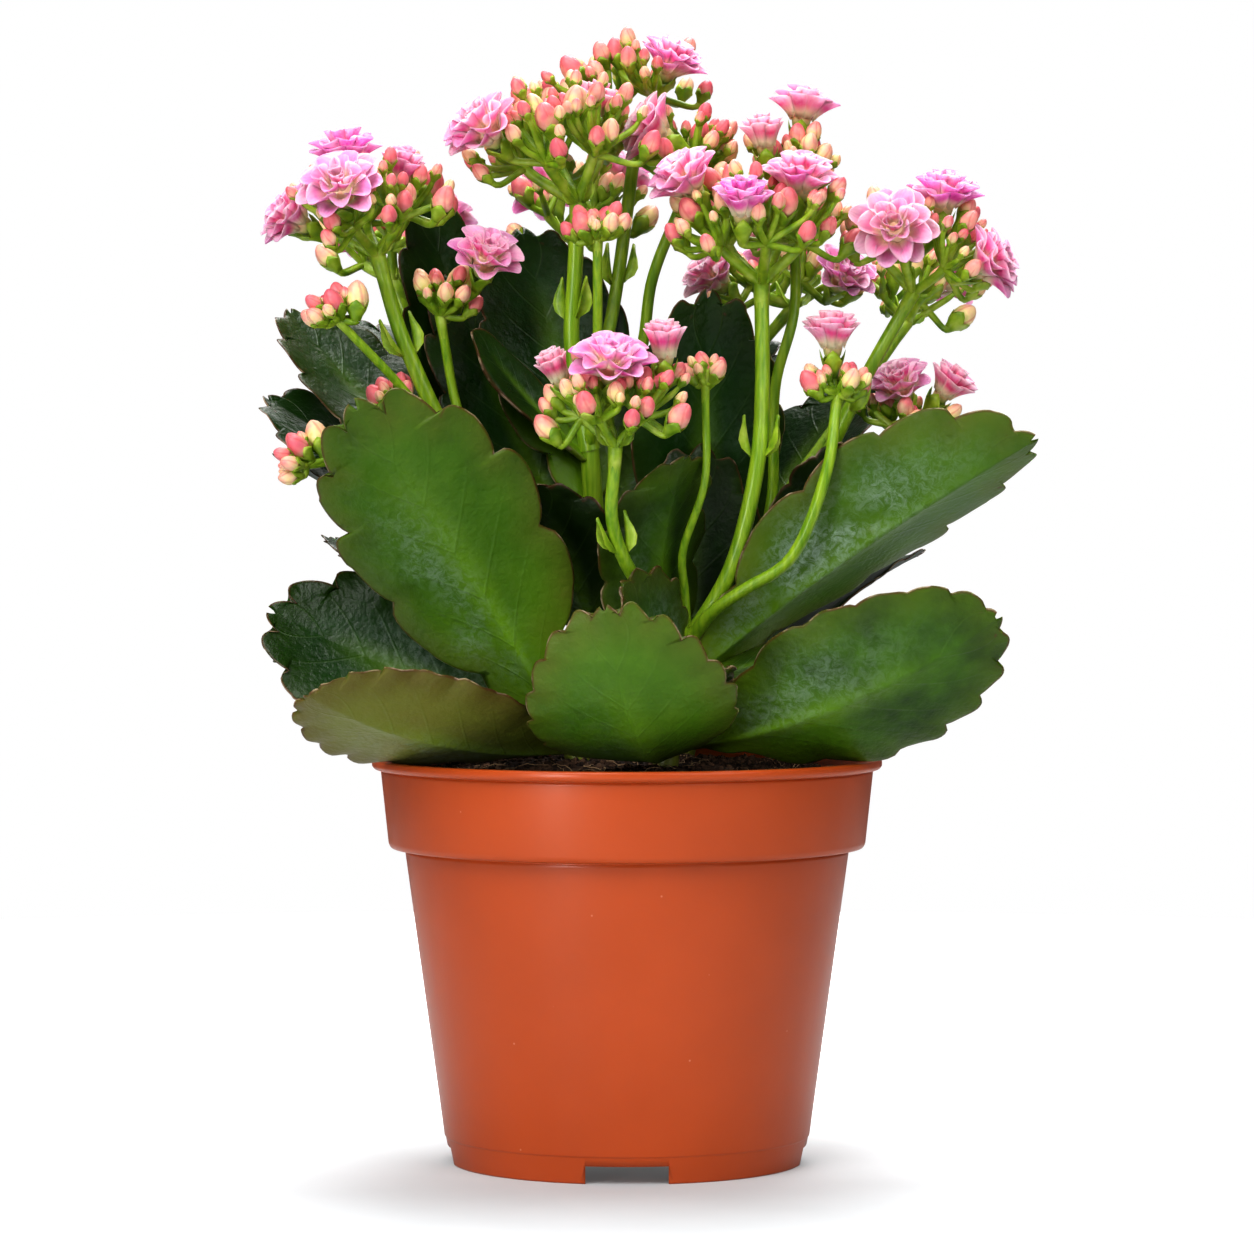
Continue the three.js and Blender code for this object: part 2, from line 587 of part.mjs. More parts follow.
// Adds a whorl's petals and its middle ring above and below, whose places in points it gives.
function addWhorl(points, triangles, { centre, x, y, z, count }, whorl, grown) {
  const place = (angle, reach, aside, lift) => {
    const out = x.clone().multiplyScalar(Math.cos(angle)).addScaledVector(y, Math.sin(angle));
    const across = z.clone().cross(out);
    const forward = out.clone().multiplyScalar(Math.cos(whorl.slope)).addScaledVector(z, Math.sin(whorl.slope));
    const normal = z.clone().multiplyScalar(Math.cos(whorl.slope)).addScaledVector(out, -Math.sin(whorl.slope));
    const root = along(along(centre, out, whorl.middle + grown), z, whorl.rise);
    points.push(along(along(along(root, forward, reach), across, aside), normal, lift));
    return points.length - 1;
  };
  const step = (2 * Math.PI) / count;
  const lift = PETAL_THICKNESS / 2 + grown;
  const angleOf = (k) => whorl.spin + k * step;
  const above = Array.from({ length: count }, (_, k) => place(angleOf(k - 0.5), 0, 0, lift));
  const below = Array.from({ length: count }, (_, k) => place(angleOf(k - 0.5), 0, 0, -lift));
  const shoulder = whorl.middle + PETAL_WIDEST * whorl.length * Math.cos(whorl.slope);
  const half = Math.min(whorl.half, 0.88 * Math.tan(step / 2) * shoulder) + grown;
  for (let k = 0; k < count; k++) {
    const [a, b, c, d] = [above[k], above[(k + 1) % count], below[k], below[(k + 1) % count]];
    const left = place(angleOf(k), PETAL_WIDEST * whorl.length, -half, 0);
    const tip = place(angleOf(k), whorl.length + grown, 0, 0.1 * whorl.length);
    const right = place(angleOf(k), PETAL_WIDEST * whorl.length, half, 0);
    const under = place(angleOf(k), 0.5 * whorl.length, 0, -2 * lift);
    triangles.push([a, left, right], [a, right, b], [left, tip, right]);
    triangles.push([under, left, c], [under, c, d], [under, d, right], [under, right, tip], [under, tip, left]);
    triangles.push([a, c, left], [b, right, d]);
  }
  return { above, below };
}

function makeBloom(bloom, grown = 0) {
  const { x, y, z, slope, centre, foot, radius, count } = bloom;
  const points = [];
  const triangles = [];
  const outer = { middle: 0.24 * radius, rise: 0, length: 0.78 * radius, slope, half: 0.4 * radius, spin: 0 };
  const inner = {
    middle: 0.15 * radius,
    rise: 0.16 * radius + PETAL_THICKNESS,
    length: 0.6 * radius,
    slope: Math.min(1.45, slope + 0.5),
    half: 0.32 * radius,
    spin: Math.PI / count,
  };
  const low = addWhorl(points, triangles, bloom, outer, grown);
  const high = addWhorl(points, triangles, bloom, inner, grown);
  const root = [];
  for (let k = 0; k < count; k++) {
    const angle = (2 * Math.PI * (k - 0.5)) / count;
    const out = x.clone().multiplyScalar(Math.cos(angle)).addScaledVector(y, Math.sin(angle));
    points.push(along(along(foot, z, -grown), out, TUBE_RADIUS + grown));
    root.push(points.length - 1);
  }
  for (let k = 0; k < count; k++) {
    const m = (k + 1) % count;
    triangles.push([root[k], root[m], low.below[m]], [root[k], low.below[m], low.below[k]]);
    triangles.push([low.above[k], low.above[m], high.below[m]], [low.above[k], high.below[m], high.below[k]]);
    if (k > 0 && k < count - 1) {
      triangles.push([root[0], root[k + 1], root[k]], [high.above[0], high.above[k], high.above[k + 1]]);
    }
  }
  return solidFrom(points, triangles);
}

// Buds and branches of a head.

// Straight pieces that take up room, as [from, to, radius], to find whether they would touch.
function touches([from, to, radius], others, gap) {
  const line = new THREE.Line3(from, to);
  return others.some(([start, end, other]) => {
    const reach = radius + other + gap;
    return line.distanceSqToLine3(new THREE.Line3(start, end)) < reach * reach;
  });
}

function bloomRoom({ x, y, z, slope, centre, foot, radius, count }) {
  const room = [[foot, centre, 0.3 * radius]];
  for (let k = 0; k < count; k++) {
    const angle = (2 * Math.PI * k) / count;
    const out = x.clone().multiplyScalar(Math.cos(angle)).addScaledVector(y, Math.sin(angle));
    const tip = along(along(centre, out, radius * Math.cos(slope)), z, radius * Math.sin(slope));
    room.push([along(centre, z, 1), tip.lerp(centre, 0.15), 0.22 * radius]);
  }
  return room;
}

function stalkRoom({ path, radii }) {
  const points = new THREE.CatmullRomCurve3(path.map(vec)).getSpacedPoints(8);
  return points.slice(1).map((p, i) => [points[i], p, radii[0]]);
}

// A head's crown, and its forks with the twigs that grow out of each: buds and the calyces of the
// open flowers. Buds that would touch something in the room that is taken are left out.
function planHead(head, stalk, flowers, taken) {
  const foot = vec(stalk.path.at(-1));
  const way = foot.clone().sub(vec(stalk.path.at(-2))).normalize();
  const axis = vec(head.lean).normalize();
  const [x, y] = frameAround(axis);
  const outward = (angle) => x.clone().multiplyScalar(Math.cos(angle)).addScaledVector(y, Math.sin(angle));
  const crown = along(foot, way, Math.min(4, head.height * 0.25));
  const few = head.buds + flowers.length <= 6;
  const forkCount = few ? 1 : Math.min(5, 3 + Math.floor(head.buds / 6));
  const forks = Array.from({ length: forkCount }, (_, i) => {
    const out = outward((2 * Math.PI * i) / forkCount + head.turn);
    const place = along(along(foot, axis, 0.42 * head.height), out, 0.4 * head.radius);
    return { place: few ? crown : place, most: few ? 6 : 5, twigs: [] };
  });
  const nearest = (p) => forks.filter(({ most, twigs }) => twigs.length < most)
    .reduce((a, b) => (a && a.place.distanceTo(p) < b.place.distanceTo(p) ? a : b), null);
  const own = [];
  own.kept = 0;
  for (const flower of flowers) {
    const base = along(flower.foot, flower.z, -4);
    const top = along(flower.foot, flower.z, -JOINT_GAP);
    const fork = nearest(base);
    fork.twigs.push({ rings: [[base, 1.1], [top, 2.1]] });
    own.push([base, top, 1.9], [fork.place.clone().lerp(base, 0.3), base, 0.8]);
  }
  for (let i = 0; i < BUD_TRIES * head.buds && own.kept < head.buds; i++) {
    const share = Math.sqrt(((i % head.buds) + 0.7) / head.buds);
    const out = outward(head.turn + i * GOLDEN_ANGLE + 0.4 * jitter(i, 1));
    const rise = head.height * (0.92 - 0.5 * share ** 2 + 0.12 * jitter(i, 2));
    const place = along(along(foot, axis, rise), out, 0.92 * head.radius * share);
    const direction = axis.clone().addScaledVector(out, 0.8 * share).normalize();
    const length = BUD_LENGTH * (1 - 0.2 * share + 0.2 * jitter(i, 3));
    const fork = nearest(place);
    if (!fork) break;
    const base = along(place, direction, -0.5 * length);
    const tip = along(place, direction, 0.5 * length);
    const radius = BUD_RADIUS * length;
    const body = [along(base, direction, 0.6 * radius), along(tip, direction, -0.8 * radius), 0.9 * radius];
    const twig = [fork.place.clone().lerp(base, 0.3), base, 0.6];
    if (touches(body, taken, JOINT_GAP) || touches(body, own, 0)) continue;
    if (touches(twig, taken, JOINT_GAP) || touches(twig, own, 0)) continue;
    own.push(body, twig);
    own.kept += 1;
    fork.twigs.push({ rings: [[base, TWIG_RADIUS], [along(base, direction, 0.4 * length), radius]], tip });
  }
  for (const { place } of forks) own.push([crown, place, 1]);
  return { foot, crown, forks, few, room: own };
}

function makeHead({ foot, crown, forks, few }, radius, grown = 0) {
  const branches = forks.filter(({ twigs }) => twigs.length).map(({ place, twigs }) => ({
    rings: [[crown.clone().lerp(place, 0.35), 0.8], [place, 1.2]],
    twigs,
  }));
  const trunk = { rings: [[foot, radius], [crown, 1.2 * radius]], twigs: few ? forks[0].twigs : branches };
  return forked(trunk, 5, grown);
}

// The whole plant, its pieces cut clear of each other.

const nodes = [];
const addNode = (name, solid, look) => nodes.push({ name, solid, look });
// A solid together with the room it needs, which is the same piece grown by a clearance.
const piece = (make) => ({ solid: make(0), room: make(CLEARANCE) });
const near = (a, b) => {
  const [p, q] = [a.boundingBox(), b.boundingBox()];
  return [0, 1, 2].every((k) => p.min[k] < q.max[k] && q.min[k] < p.max[k]);
};
function clearOf({ solid, room }, others) {
  const inTheWay = others.filter((other) => near(solid, other.room) && solid.intersect(other.room).volume() > 1e-6);
  if (!inTheWay.length) return { solid, room };
  const cut = joined(inTheWay.map((other) => other.room));
  return { solid: largest(solid.subtract(cut)), room };
}

const stalks = {};
for (const shoot of Object.values(SHOOTS)) Object.assign(stalks, shoot.stalks);

const flowers = {};
const taken = {};
for (const [name, head] of Object.entries(HEADS)) {
  flowers[name] = head.blooms.map(bloomParts);
  taken[name] = flowers[name].flatMap(bloomRoom);
}
const blooms = [];
for (const [name, all] of Object.entries(flowers)) {
  all.forEach((flower, i) => {
    const bloom = clearOf(piece((grown) => makeBloom(flower, grown)), blooms);
    blooms.push(bloom);
    addNode(`bloom_${name}_${i + 1}`, bloom.solid, 'bloom');
  });
}
const heads = [];
for (const [name, head] of Object.entries(HEADS)) {
  const room = Object.values(taken).flat();
  for (const [other, stalk] of Object.entries(stalks)) {
    if (other !== name) room.push(...stalkRoom(stalk));
  }
  const plan = planHead(head, stalks[name], flowers[name], room);
  taken[name].push(...plan.room);
  const made = clearOf(piece((grown) => makeHead(plan, stalks[name].radii[1], grown)), [...blooms, ...heads]);
  heads.push(made);
  addNode(`head_${name}`, made.solid, 'bud');
}

const stems = Object.values(SHOOTS).map(({ stem }) => stem);
const pot = makePot();
const soil = makeSoil(stems);
const wood = Object.values(SHOOTS).map(({ stem, stalks: flowering }) => piece((grown) => forked({
  rings: ringsAlong(stem.path, stem.radii, STEM_STEPS),
  twigs: Object.values(flowering).map(({ path, radii }) => {
    const rings = ringsAlong(path, radii, STALK_STEPS);
    rings.at(-1)[0].addScaledVector(vec(path.at(-1)).sub(vec(path.at(-2))).normalize(), -JOINT_GAP);
    return { rings };
  }),
}, 6, grown)));
const grounds = [pot, soil].map((solid) => ({ solid, room: solid }));
const grown = [];
Object.entries(SHOOTS).forEach(([name, { stem, leaves }], i) => {
  const own = clearOf(wood[i], [...blooms, ...heads, ...wood.slice(0, i)]);
  const others = [...grounds, ...blooms, ...heads, ...wood.filter((_, k) => k !== i), ...grown];
  const blades = leaves.map(([height, shape]) => {
    const base = pointAtHeight(stem.path, height);
    return clearOf(piece((more) => leaf(base, shape, more)), others);
  });
  grown.push(...blades);
  addNode(name, largest(joined([own.solid, ...blades.map(({ solid }) => solid)])), 'green');
});
addNode('soil', soil, 'soil');
addNode('pot', pot, 'pot');

const plant = new THREE.Group();
for (const { name, solid, look } of nodes) {
  const mesh = new THREE.Mesh(geometryOf(solid), new THREE.MeshStandardMaterial(COLOURS[look]));
  mesh.name = name;
  plant.add(mesh);
}

export default plant;
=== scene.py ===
# A potted flaming katy, a double pink kalanchoe in a terracotta-coloured nursery pot, dressed over
# its solid parts. Shapes are worked out in millimetres and made in metres. +Z is up and the side
# that is usually looked at is towards -Y.
import math

import bpy
import numpy as np
from mathutils import Matrix, Vector, noise


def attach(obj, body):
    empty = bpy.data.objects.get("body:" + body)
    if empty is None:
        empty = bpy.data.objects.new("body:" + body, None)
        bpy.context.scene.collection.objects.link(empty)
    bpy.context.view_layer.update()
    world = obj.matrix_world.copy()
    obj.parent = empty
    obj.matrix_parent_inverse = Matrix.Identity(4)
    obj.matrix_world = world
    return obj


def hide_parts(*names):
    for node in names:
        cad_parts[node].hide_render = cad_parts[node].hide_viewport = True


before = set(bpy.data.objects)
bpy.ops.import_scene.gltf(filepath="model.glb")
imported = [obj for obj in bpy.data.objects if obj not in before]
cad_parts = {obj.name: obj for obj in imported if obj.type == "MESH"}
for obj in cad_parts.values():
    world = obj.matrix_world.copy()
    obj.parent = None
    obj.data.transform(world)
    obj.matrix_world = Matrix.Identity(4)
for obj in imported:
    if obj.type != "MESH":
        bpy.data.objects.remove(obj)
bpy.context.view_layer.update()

# Pot. A grower's pot of terracotta-coloured polypropylene, injection moulded in one piece: a rolled
# lip, a straight collar, a thin tapered wall, and a raised floor on a foot ring and a middle pad.
# Four notches in the ring and five holes in the floor let the water out.
MM = 0.001
POT_SIDES, DRAIN_SIDES = 168, 32
FILLET_STEPS = 4
FOOT_RADIUS = 41.5
NOTCH_WIDTH, NOTCH_DEPTH, NOTCH_HEIGHT, NOTCH_COUNT = 19, 8, 4.2, 4
DRAIN_RADIUS, DRAIN_CIRCLE, DRAIN_COUNT = 3.5, 27, 5
DRAIN_FROM, DRAIN_TO = -2, 12

# The pot's section as (radius, height, fillet), from the middle of its foot round the outside.
POT_SECTION = (
    (0, 0, 0), (9, 0, 0.5), (9, 4.8, 0.5), (39.6, 4.8, 0.8), (39.8, 0, 0.3),
    (FOOT_RADIUS, 0, 0.5), (42.75, 6.2, 0.3), (43.02, 6.5, 0.3), (52.2, 73.2, 0.3), (52, 73.9, 0.3),
    (55.6, 74.2, 0.5), (56.1, 75.2, 0.6), (57.9, 92, 0.2), (57.6, 92.5, 0.2), (59.4, 92.7, 0.4),
    (60, 93.4, 0.5), (60, 95, 0.8), (57, 95, 1.1), (54.7, 76.2, 0.8), (50.9, 74.6, 0.8),
    (41.4, 6.6, 1.5), (0, 6.3, 0),
)


def linear(colour):
    """An sRGB hex colour as a linear one."""
    parts = [int(colour[i : i + 2], 16) / 255 for i in (1, 3, 5)]
    return (*(c / 12.92 if c <= 0.04045 else ((c + 0.055) / 1.055) ** 2.4 for c in parts), 1)


def add(tree, kind, inputs=(), stops=(), **settings):
    """Adds a node. An input is given a number, a hex colour, a socket, or a node's first output."""
    node = tree.nodes.new(kind)
    for key, value in settings.items():
        setattr(node, key, value)
    for i, (place, colour) in enumerate(stops):
        ramp = node.color_ramp.elements
        element = ramp[i] if i < 2 else ramp.new(place)
        element.position, element.color = place, linear(colour)
    for key, value in dict(inputs).items():
        socket = node.inputs[key]
        if isinstance(value, bpy.types.Node):
            value = next(o for o in value.outputs if o.enabled)
        if isinstance(value, bpy.types.NodeSocket):
            tree.links.new(value, socket)
        else:
            socket.default_value = linear(value) if socket.type == "RGBA" else value
    return node


def material(name, values):
    """A new material with the numbers that hold all over it, its nodes, its shader, and the socket
    that gives the place on the object."""
    made = bpy.data.materials.new(name)
    made.use_nodes = True
    tree = made.node_tree
    shader = tree.nodes["Principled BSDF"]
    for socket, value in values.items():
        shader.inputs[socket].default_value = value
    return made, tree, shader, add(tree, "ShaderNodeTexCoord").outputs["Object"]


def plug(tree, shader, **sockets):
    """Links nodes to the shader's sockets, which are named with _ for a space."""
    for name, node in sockets.items():
        source = next(o for o in node.outputs if o.enabled)
        tree.links.new(source, shader.inputs[name.replace("_", " ")])


def stand(name, data):
    """An object of a mesh, of paths, of a lamp or of a camera, in the scene."""
    obj = bpy.data.objects.new(name, data)
    bpy.context.scene.collection.objects.link(obj)
    return obj


def place(name, mesh, finish=None):
    """A smooth object of a finished mesh, which stands at the origin."""
    obj = stand(name, mesh)
    mesh.name = name
    mesh.polygons.foreach_set("use_smooth", np.ones(len(mesh.polygons), bool))
    if finish:
        mesh.materials.clear()
        mesh.materials.append(finish)
    return obj


def mesh_of(name, points, faces, **attributes):
    """A mesh from points in millimetres, with a number for each point by name."""
    mesh = bpy.data.meshes.new(name)
    mesh.from_pydata((np.asarray(points, float) * MM).tolist(), [], faces)
    for key, values in attributes.items():
        layer = mesh.attributes.new(key, "FLOAT", "POINT")
        layer.data.foreach_set("value", np.asarray(values, np.float32).ravel())
    mesh.validate()
    mesh.update()
    return mesh


def softened(section):
    """A section's (radius, height) points with each corner rounded by its fillet."""
    corners = [np.array(c[:2], float) for c in section]
    points = [corners[0]]
    for before, corner, after, (_, _, fillet) in zip(corners, corners[1:], corners[2:], section[1:]):
        back, on = before - corner, after - corner
        reach = min(fillet, 0.45 * np.linalg.norm(back), 0.45 * np.linalg.norm(on))
        start = corner + reach * back / np.linalg.norm(back)
        end = corner + reach * on / np.linalg.norm(on)
        for t in np.linspace(0, 1, FILLET_STEPS + 1):
            points.append((1 - t) ** 2 * start + 2 * t * (1 - t) * corner + t * t * end)
    return np.array(points + [corners[-1]])


def turned(section, sides):
    """Points and faces of a closed solid turned round +Z from a section that starts and ends on it."""
    angles = 2 * math.pi * np.arange(sides) / sides
    ring = np.c_[np.sin(angles), -np.cos(angles)]
    inner = section[1:-1]
    points = [(*(r * ring[k]), z) for r, z in inner for k in range(sides)]
    faces = []
    for r in range(len(inner) - 1):
        for k in range(sides):
            a, b = r * sides + k, r * sides + (k + 1) % sides
            faces.append((a, b, b + sides, a + sides))
    for pole, low, flip in ((section[0], 0, True), (section[-1], (len(inner) - 1) * sides, False)):
        points.append((0, 0, pole[1]))
        for k in range(sides):
            a, b = low + k, low + (k + 1) % sides
            faces.append((b, a, len(points) - 1) if flip else (a, b, len(points) - 1))
    return points, faces


# Polypropylene with a little filler: satin, clouded by a shade where the melt flowed, with pale
# specks of dust under the skin and fine upright scuffs from stacking.
polypropylene, tree, shader, spot = material(
    "moulded polypropylene",
    {"IOR": 1.49, "Specular IOR Level": 0.4, "Subsurface Weight": 0.06, "Subsurface Scale": 0.002},
)
flow = add(tree, "ShaderNodeTexNoise", {"Vector": spot, "Scale": 22, "Detail": 3})
tone = add(tree, "ShaderNodeValToRGB", {"Fac": flow}, stops=((0.3, "#AC4817"), (0.72, "#B9501E")))
stretched = add(tree, "ShaderNodeMapping", {"Vector": spot, "Scale": (1, 1, 0.06)})
scuffs = add(tree, "ShaderNodeTexNoise", {"Vector": stretched, "Scale": 160, "Detail": 2})
specks = add(tree, "ShaderNodeTexVoronoi", {"Vector": spot, "Scale": 110, "Randomness": 1})
pale = add(tree, "ShaderNodeMapRange",
           {"Value": specks, "From Min": 0.035, "From Max": 0.015, "To Min": 0, "To Max": 0.3})
speckled = add(tree, "ShaderNodeMix", {0: pale, 6: tone, 7: "#EBC3A8"}, data_type="RGBA")
sheen = add(tree, "ShaderNodeMapRange",
            {"Value": scuffs, "From Min": 0.3, "From Max": 0.7, "To Min": 0.29, "To Max": 0.33})
grain = add(tree, "ShaderNodeTexNoise", {"Vector": spot, "Scale": 1400, "Detail": 2})
skin = add(tree, "ShaderNodeBump", {"Height": grain, "Strength": 0.12, "Distance": 0.0001})
plug(tree, shader, Base_Color=speckled, Roughness=sheen, Normal=skin)

points, faces = turned(softened(POT_SECTION), POT_SIDES)
pot = place("nursery_pot", mesh_of("pot", points, faces))
half = np.array((NOTCH_WIDTH / 2, NOTCH_DEPTH / 2, NOTCH_HEIGHT))
notch = [half * (x, y, z) - (0, FOOT_RADIUS, 0) for x in (-1, 1) for y in (-1, 1) for z in (-1, 1)]
notch_faces = [(0, 1, 3, 2), (4, 6, 7, 5), (0, 4, 5, 1), (2, 3, 7, 6), (0, 2, 6, 4), (1, 5, 7, 3)]
bore = [(0, DRAIN_FROM), (DRAIN_RADIUS, DRAIN_FROM), (DRAIN_RADIUS, DRAIN_TO), (0, DRAIN_TO)]
points, drain_faces = turned(bore, DRAIN_SIDES)
drain = np.array(points) + (DRAIN_CIRCLE, 0, 0)
cutters = []
for name, count, late, points, faces in (
    ("notch", NOTCH_COUNT, 0, notch, notch_faces),
    ("drain", DRAIN_COUNT, 0.5, drain, drain_faces),
):
    for i in range(count):
        cutters.append(place(f"{name}_{i}", mesh_of(name, points, faces)))
        cutters[-1].data.transform(Matrix.Rotation(2 * math.pi * (i + late) / count, 4, "Z"))
for cutter in cutters:
    cut = pot.modifiers.new("cut", "BOOLEAN")
    cut.operation, cut.solver, cut.object = "DIFFERENCE", "EXACT", cutter
whole = pot.evaluated_get(bpy.context.evaluated_depsgraph_get())
pot_mesh = bpy.data.meshes.new_from_object(whole)
for spent in (pot, *cutters):
    bpy.data.objects.remove(spent)
pot = place("nursery_pot", pot_mesh, polypropylene)
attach(pot, "root")
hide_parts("pot")

# Potting soil. Dark peat that fills the pot to just under the lip, a little mounded round the
# stems, with loose crumbs and pale root fibres lying on it.
SOIL_SIDES, SOIL_RINGS = 120, 44
SOIL_EDGE_HEIGHT, SOIL_MOUND, SOIL_LUMP = 90.5, 4, 0.7
SOIL_EDGE_RADIUS, COLLAR_TOP_RADIUS = 55.7, 57.9
CRUMB_DENSITY, CRUMB_SMALLEST, CRUMB_LARGEST = 420000, 0.5, 1.9
FIBRE_COUNT, FIBRE_RADIUS, FIBRE_SPREAD = 150, 0.12, 53

# The soil's foot and side, as (radius, height), where it lies against the pot's wall.
SOIL_SIDE = ((0, 7), (40.9, 7.2), (50.4, 75.1), (54.2, 77.4))


def soil_height(x, y):
    """How high the mounded and lumpy soil is at a place."""
    inward = 1 - min(1, math.hypot(x, y) / COLLAR_TOP_RADIUS)
    lumps = math.sin(0.31 * x + 1.7) * math.cos(0.27 * y) + math.sin(0.17 * x - 0.23 * y)
    broad = SOIL_EDGE_HEIGHT + SOIL_MOUND * math.sin(math.pi / 2 * inward) + SOIL_LUMP * lumps
    clods = noise.noise((0.35 * x, 0.35 * y, 0.5)) + 0.6 * noise.noise((0.9 * x, 0.9 * y, 2.5))
    return broad + 0.8 * clods


def node_tool(name, **inputs):
    """A Geometry Nodes tree with named inputs, and the node that gives them."""
    tool = bpy.data.node_groups.new(name, "GeometryNodeTree")
    for key, kind in inputs.items():
        tool.interface.new_socket(key, in_out="INPUT", socket_type="NodeSocket" + kind)
    tool.interface.new_socket("Result", in_out="OUTPUT", socket_type="NodeSocketGeometry")
    return tool, tool.nodes.new("NodeGroupInput")


def finish_tool(tool, given, geometry):
    """Ends a tree: everything is made real, smooth and of one finish."""
    real = add(tool, "GeometryNodeRealizeInstances", {"Geometry": geometry})
    smooth = add(tool, "GeometryNodeSetShadeSmooth", {"Geometry": real})
    done = add(tool, "GeometryNodeSetMaterial", {"Geometry": smooth, "Material": given.outputs["Finish"]})
    add(tool, "NodeGroupOutput", {"Result": done})


def lay_out(tool, given, points, kind, turn, size):
    """Ends a tree that sets out a collection's shapes at points, each of its own kind, turn and size."""
    shapes = add(tool, "GeometryNodeCollectionInfo",
                 {"Collection": given.outputs["Shapes"], "Separate Children": True, "Reset Children": True})
    laid = add(tool, "GeometryNodeInstanceOnPoints", {
        "Points": points, "Instance": shapes, "Pick Instance": True, "Instance Index": kind,
        "Rotation": add(tool, "FunctionNodeEulerToRotation", {0: turn}), "Scale": size})
    finish_tool(tool, given, laid)


def made_by(tool, source, **values):
    """The plain mesh that a tool makes from an object, which is then thrown away."""
    modifier = source.modifiers.new("tool", "NODES")
    modifier.node_group = tool
    for item in tool.interface.items_tree:
        if item.in_out == "INPUT" and item.name in values:
            modifier[item.identifier] = values[item.name]
    depsgraph = bpy.context.evaluated_depsgraph_get()
    mesh = bpy.data.meshes.new_from_object(
        source.evaluated_get(depsgraph), preserve_all_data_layers=True, depsgraph=depsgraph)
    bpy.data.objects.remove(source)
    return mesh


def shape_set(name, meshes):
    """A collection that isn't in the scene, whose shapes a tool sets out. Their order is kept."""
    shapes = bpy.data.collections.new(name)
    for i, mesh in enumerate(meshes):
        shapes.objects.link(bpy.data.objects.new(f"{name}_{i}", mesh))
    return shapes


# Peat: matt, almost black where it is damp, brown where it has dried, with paler crumbs.
peat, tree, shader, spot = material("peat", {"Roughness": 0.95, "Specular IOR Level": 0.2})
damp = add(tree, "ShaderNodeTexNoise", {"Vector": spot, "Scale": 90, "Detail": 4})
crumb = add(tree, "ShaderNodeTexVoronoi", {"Vector": spot, "Scale": 700})
dry = add(tree, "ShaderNodeMix", {0: 0.5, 2: damp, 3: crumb.outputs["Color"]})
tone = add(tree, "ShaderNodeValToRGB", {"Fac": dry},
           stops=((0.25, "#160E0A"), (0.5, "#35241A"), (0.8, "#6B4F3B")))
rough = add(tree, "ShaderNodeBump", {"Height": crumb, "Strength": 0.8, "Distance": 0.0006})
plug(tree, shader, Base_Color=tone, Normal=rough)

rings = list(SOIL_SIDE)
for k in range(SOIL_RINGS, -1, -1):
    rings.append((SOIL_EDGE_RADIUS * math.sin(math.pi / 2 * k / SOIL_RINGS), 0))
points, faces = turned(rings, SOIL_SIDES)
points = [(x, y, z or soil_height(x, y)) for x, y, z in points]
soil = place("potting_soil", mesh_of("soil", points, faces), peat)
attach(soil, "root")
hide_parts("soil")

crumb_tool, given = node_tool("crumbs", Ground="Geometry", Shapes="Collection", Density="Float",
                              Smallest="Float", Largest="Float", Finish="Material")
facing = add(crumb_tool, "ShaderNodeSeparateXYZ", {0: add(crumb_tool, "GeometryNodeInputNormal")})
on_top = add(crumb_tool, "FunctionNodeCompare", {0: facing.outputs["Z"], 1: 0.5},
             operation="GREATER_THAN")
strewn = add(crumb_tool, "GeometryNodeDistributePointsOnFaces", {
    "Mesh": given.outputs["Ground"], "Selection": on_top, "Density": given.outputs["Density"],
    "Seed": 4})
size = add(crumb_tool, "FunctionNodeRandomValue", {
    2: given.outputs["Smallest"], 3: given.outputs["Largest"], "Seed": 5}, data_type="FLOAT")
spin = add(crumb_tool, "FunctionNodeRandomValue", {1: (6.3, 6.3, 6.3), "Seed": 6},
           data_type="FLOAT_VECTOR")
pick = add(crumb_tool, "FunctionNodeRandomValue", {4: 0, 5: 2, "Seed": 7}, data_type="INT")
lay_out(crumb_tool, given, strewn.outputs["Points"], pick.outputs[2], spin.outputs[0], size.outputs[1])


def crumb_mesh(seed):
    """A lump of about a millimetre with flat, uneven sides."""
    points, faces = turned([(0, -0.5), (0.42, -0.24), (0.5, 0.2), (0, 0.45)], 6)
    rough = []
    for x, y, z in points:
        swell = 1 + 0.35 * noise.noise((3 * x, 3 * y, 3 * z + seed))
        rough.append((x * swell, y * swell, z * swell))
    return mesh_of("crumb", rough, faces)


ground = place("ground", soil.data.copy())
crumbs = place("soil_crumbs", made_by(
    crumb_tool, ground, Shapes=shape_set("crumb", [crumb_mesh(seed) for seed in (2, 7, 11)]),
    Density=CRUMB_DENSITY, Smallest=CRUMB_SMALLEST, Largest=CRUMB_LARGEST, Finish=peat))
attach(crumbs, "root")

limb_tool, given = node_tool("limbs along paths", Paths="Geometry", Sides="Int", Finish="Material")
section = add(limb_tool, "GeometryNodeCurvePrimitiveCircle",
              {"Resolution": given.outputs["Sides"], "Radius": 1.0})
limb = add(limb_tool, "GeometryNodeCurveToMesh", {
    "Curve": given.outputs["Paths"], "Profile Curve": section, "Fill Caps": True,
    "Scale": add(limb_tool, "GeometryNodeInputRadius")})
finish_tool(limb_tool, given, limb)


def limbs(paths, sides, finish):
    """The mesh of round limbs along paths of (points, radii), in millimetres."""
    curve = bpy.data.curves.new("paths", "CURVE")
    curve.dimensions = "3D"
    for points, radii in paths:
        spline = curve.splines.new("POLY")
        spline.points.add(len(points) - 1)
        spline.points.foreach_set("co", np.c_[np.asarray(points) * MM, np.ones(len(points))].ravel())
        spline.points.foreach_set("radius", np.asarray(radii, float) * MM)
    return made_by(limb_tool, stand("paths", curve), Sides=sides, Finish=finish)


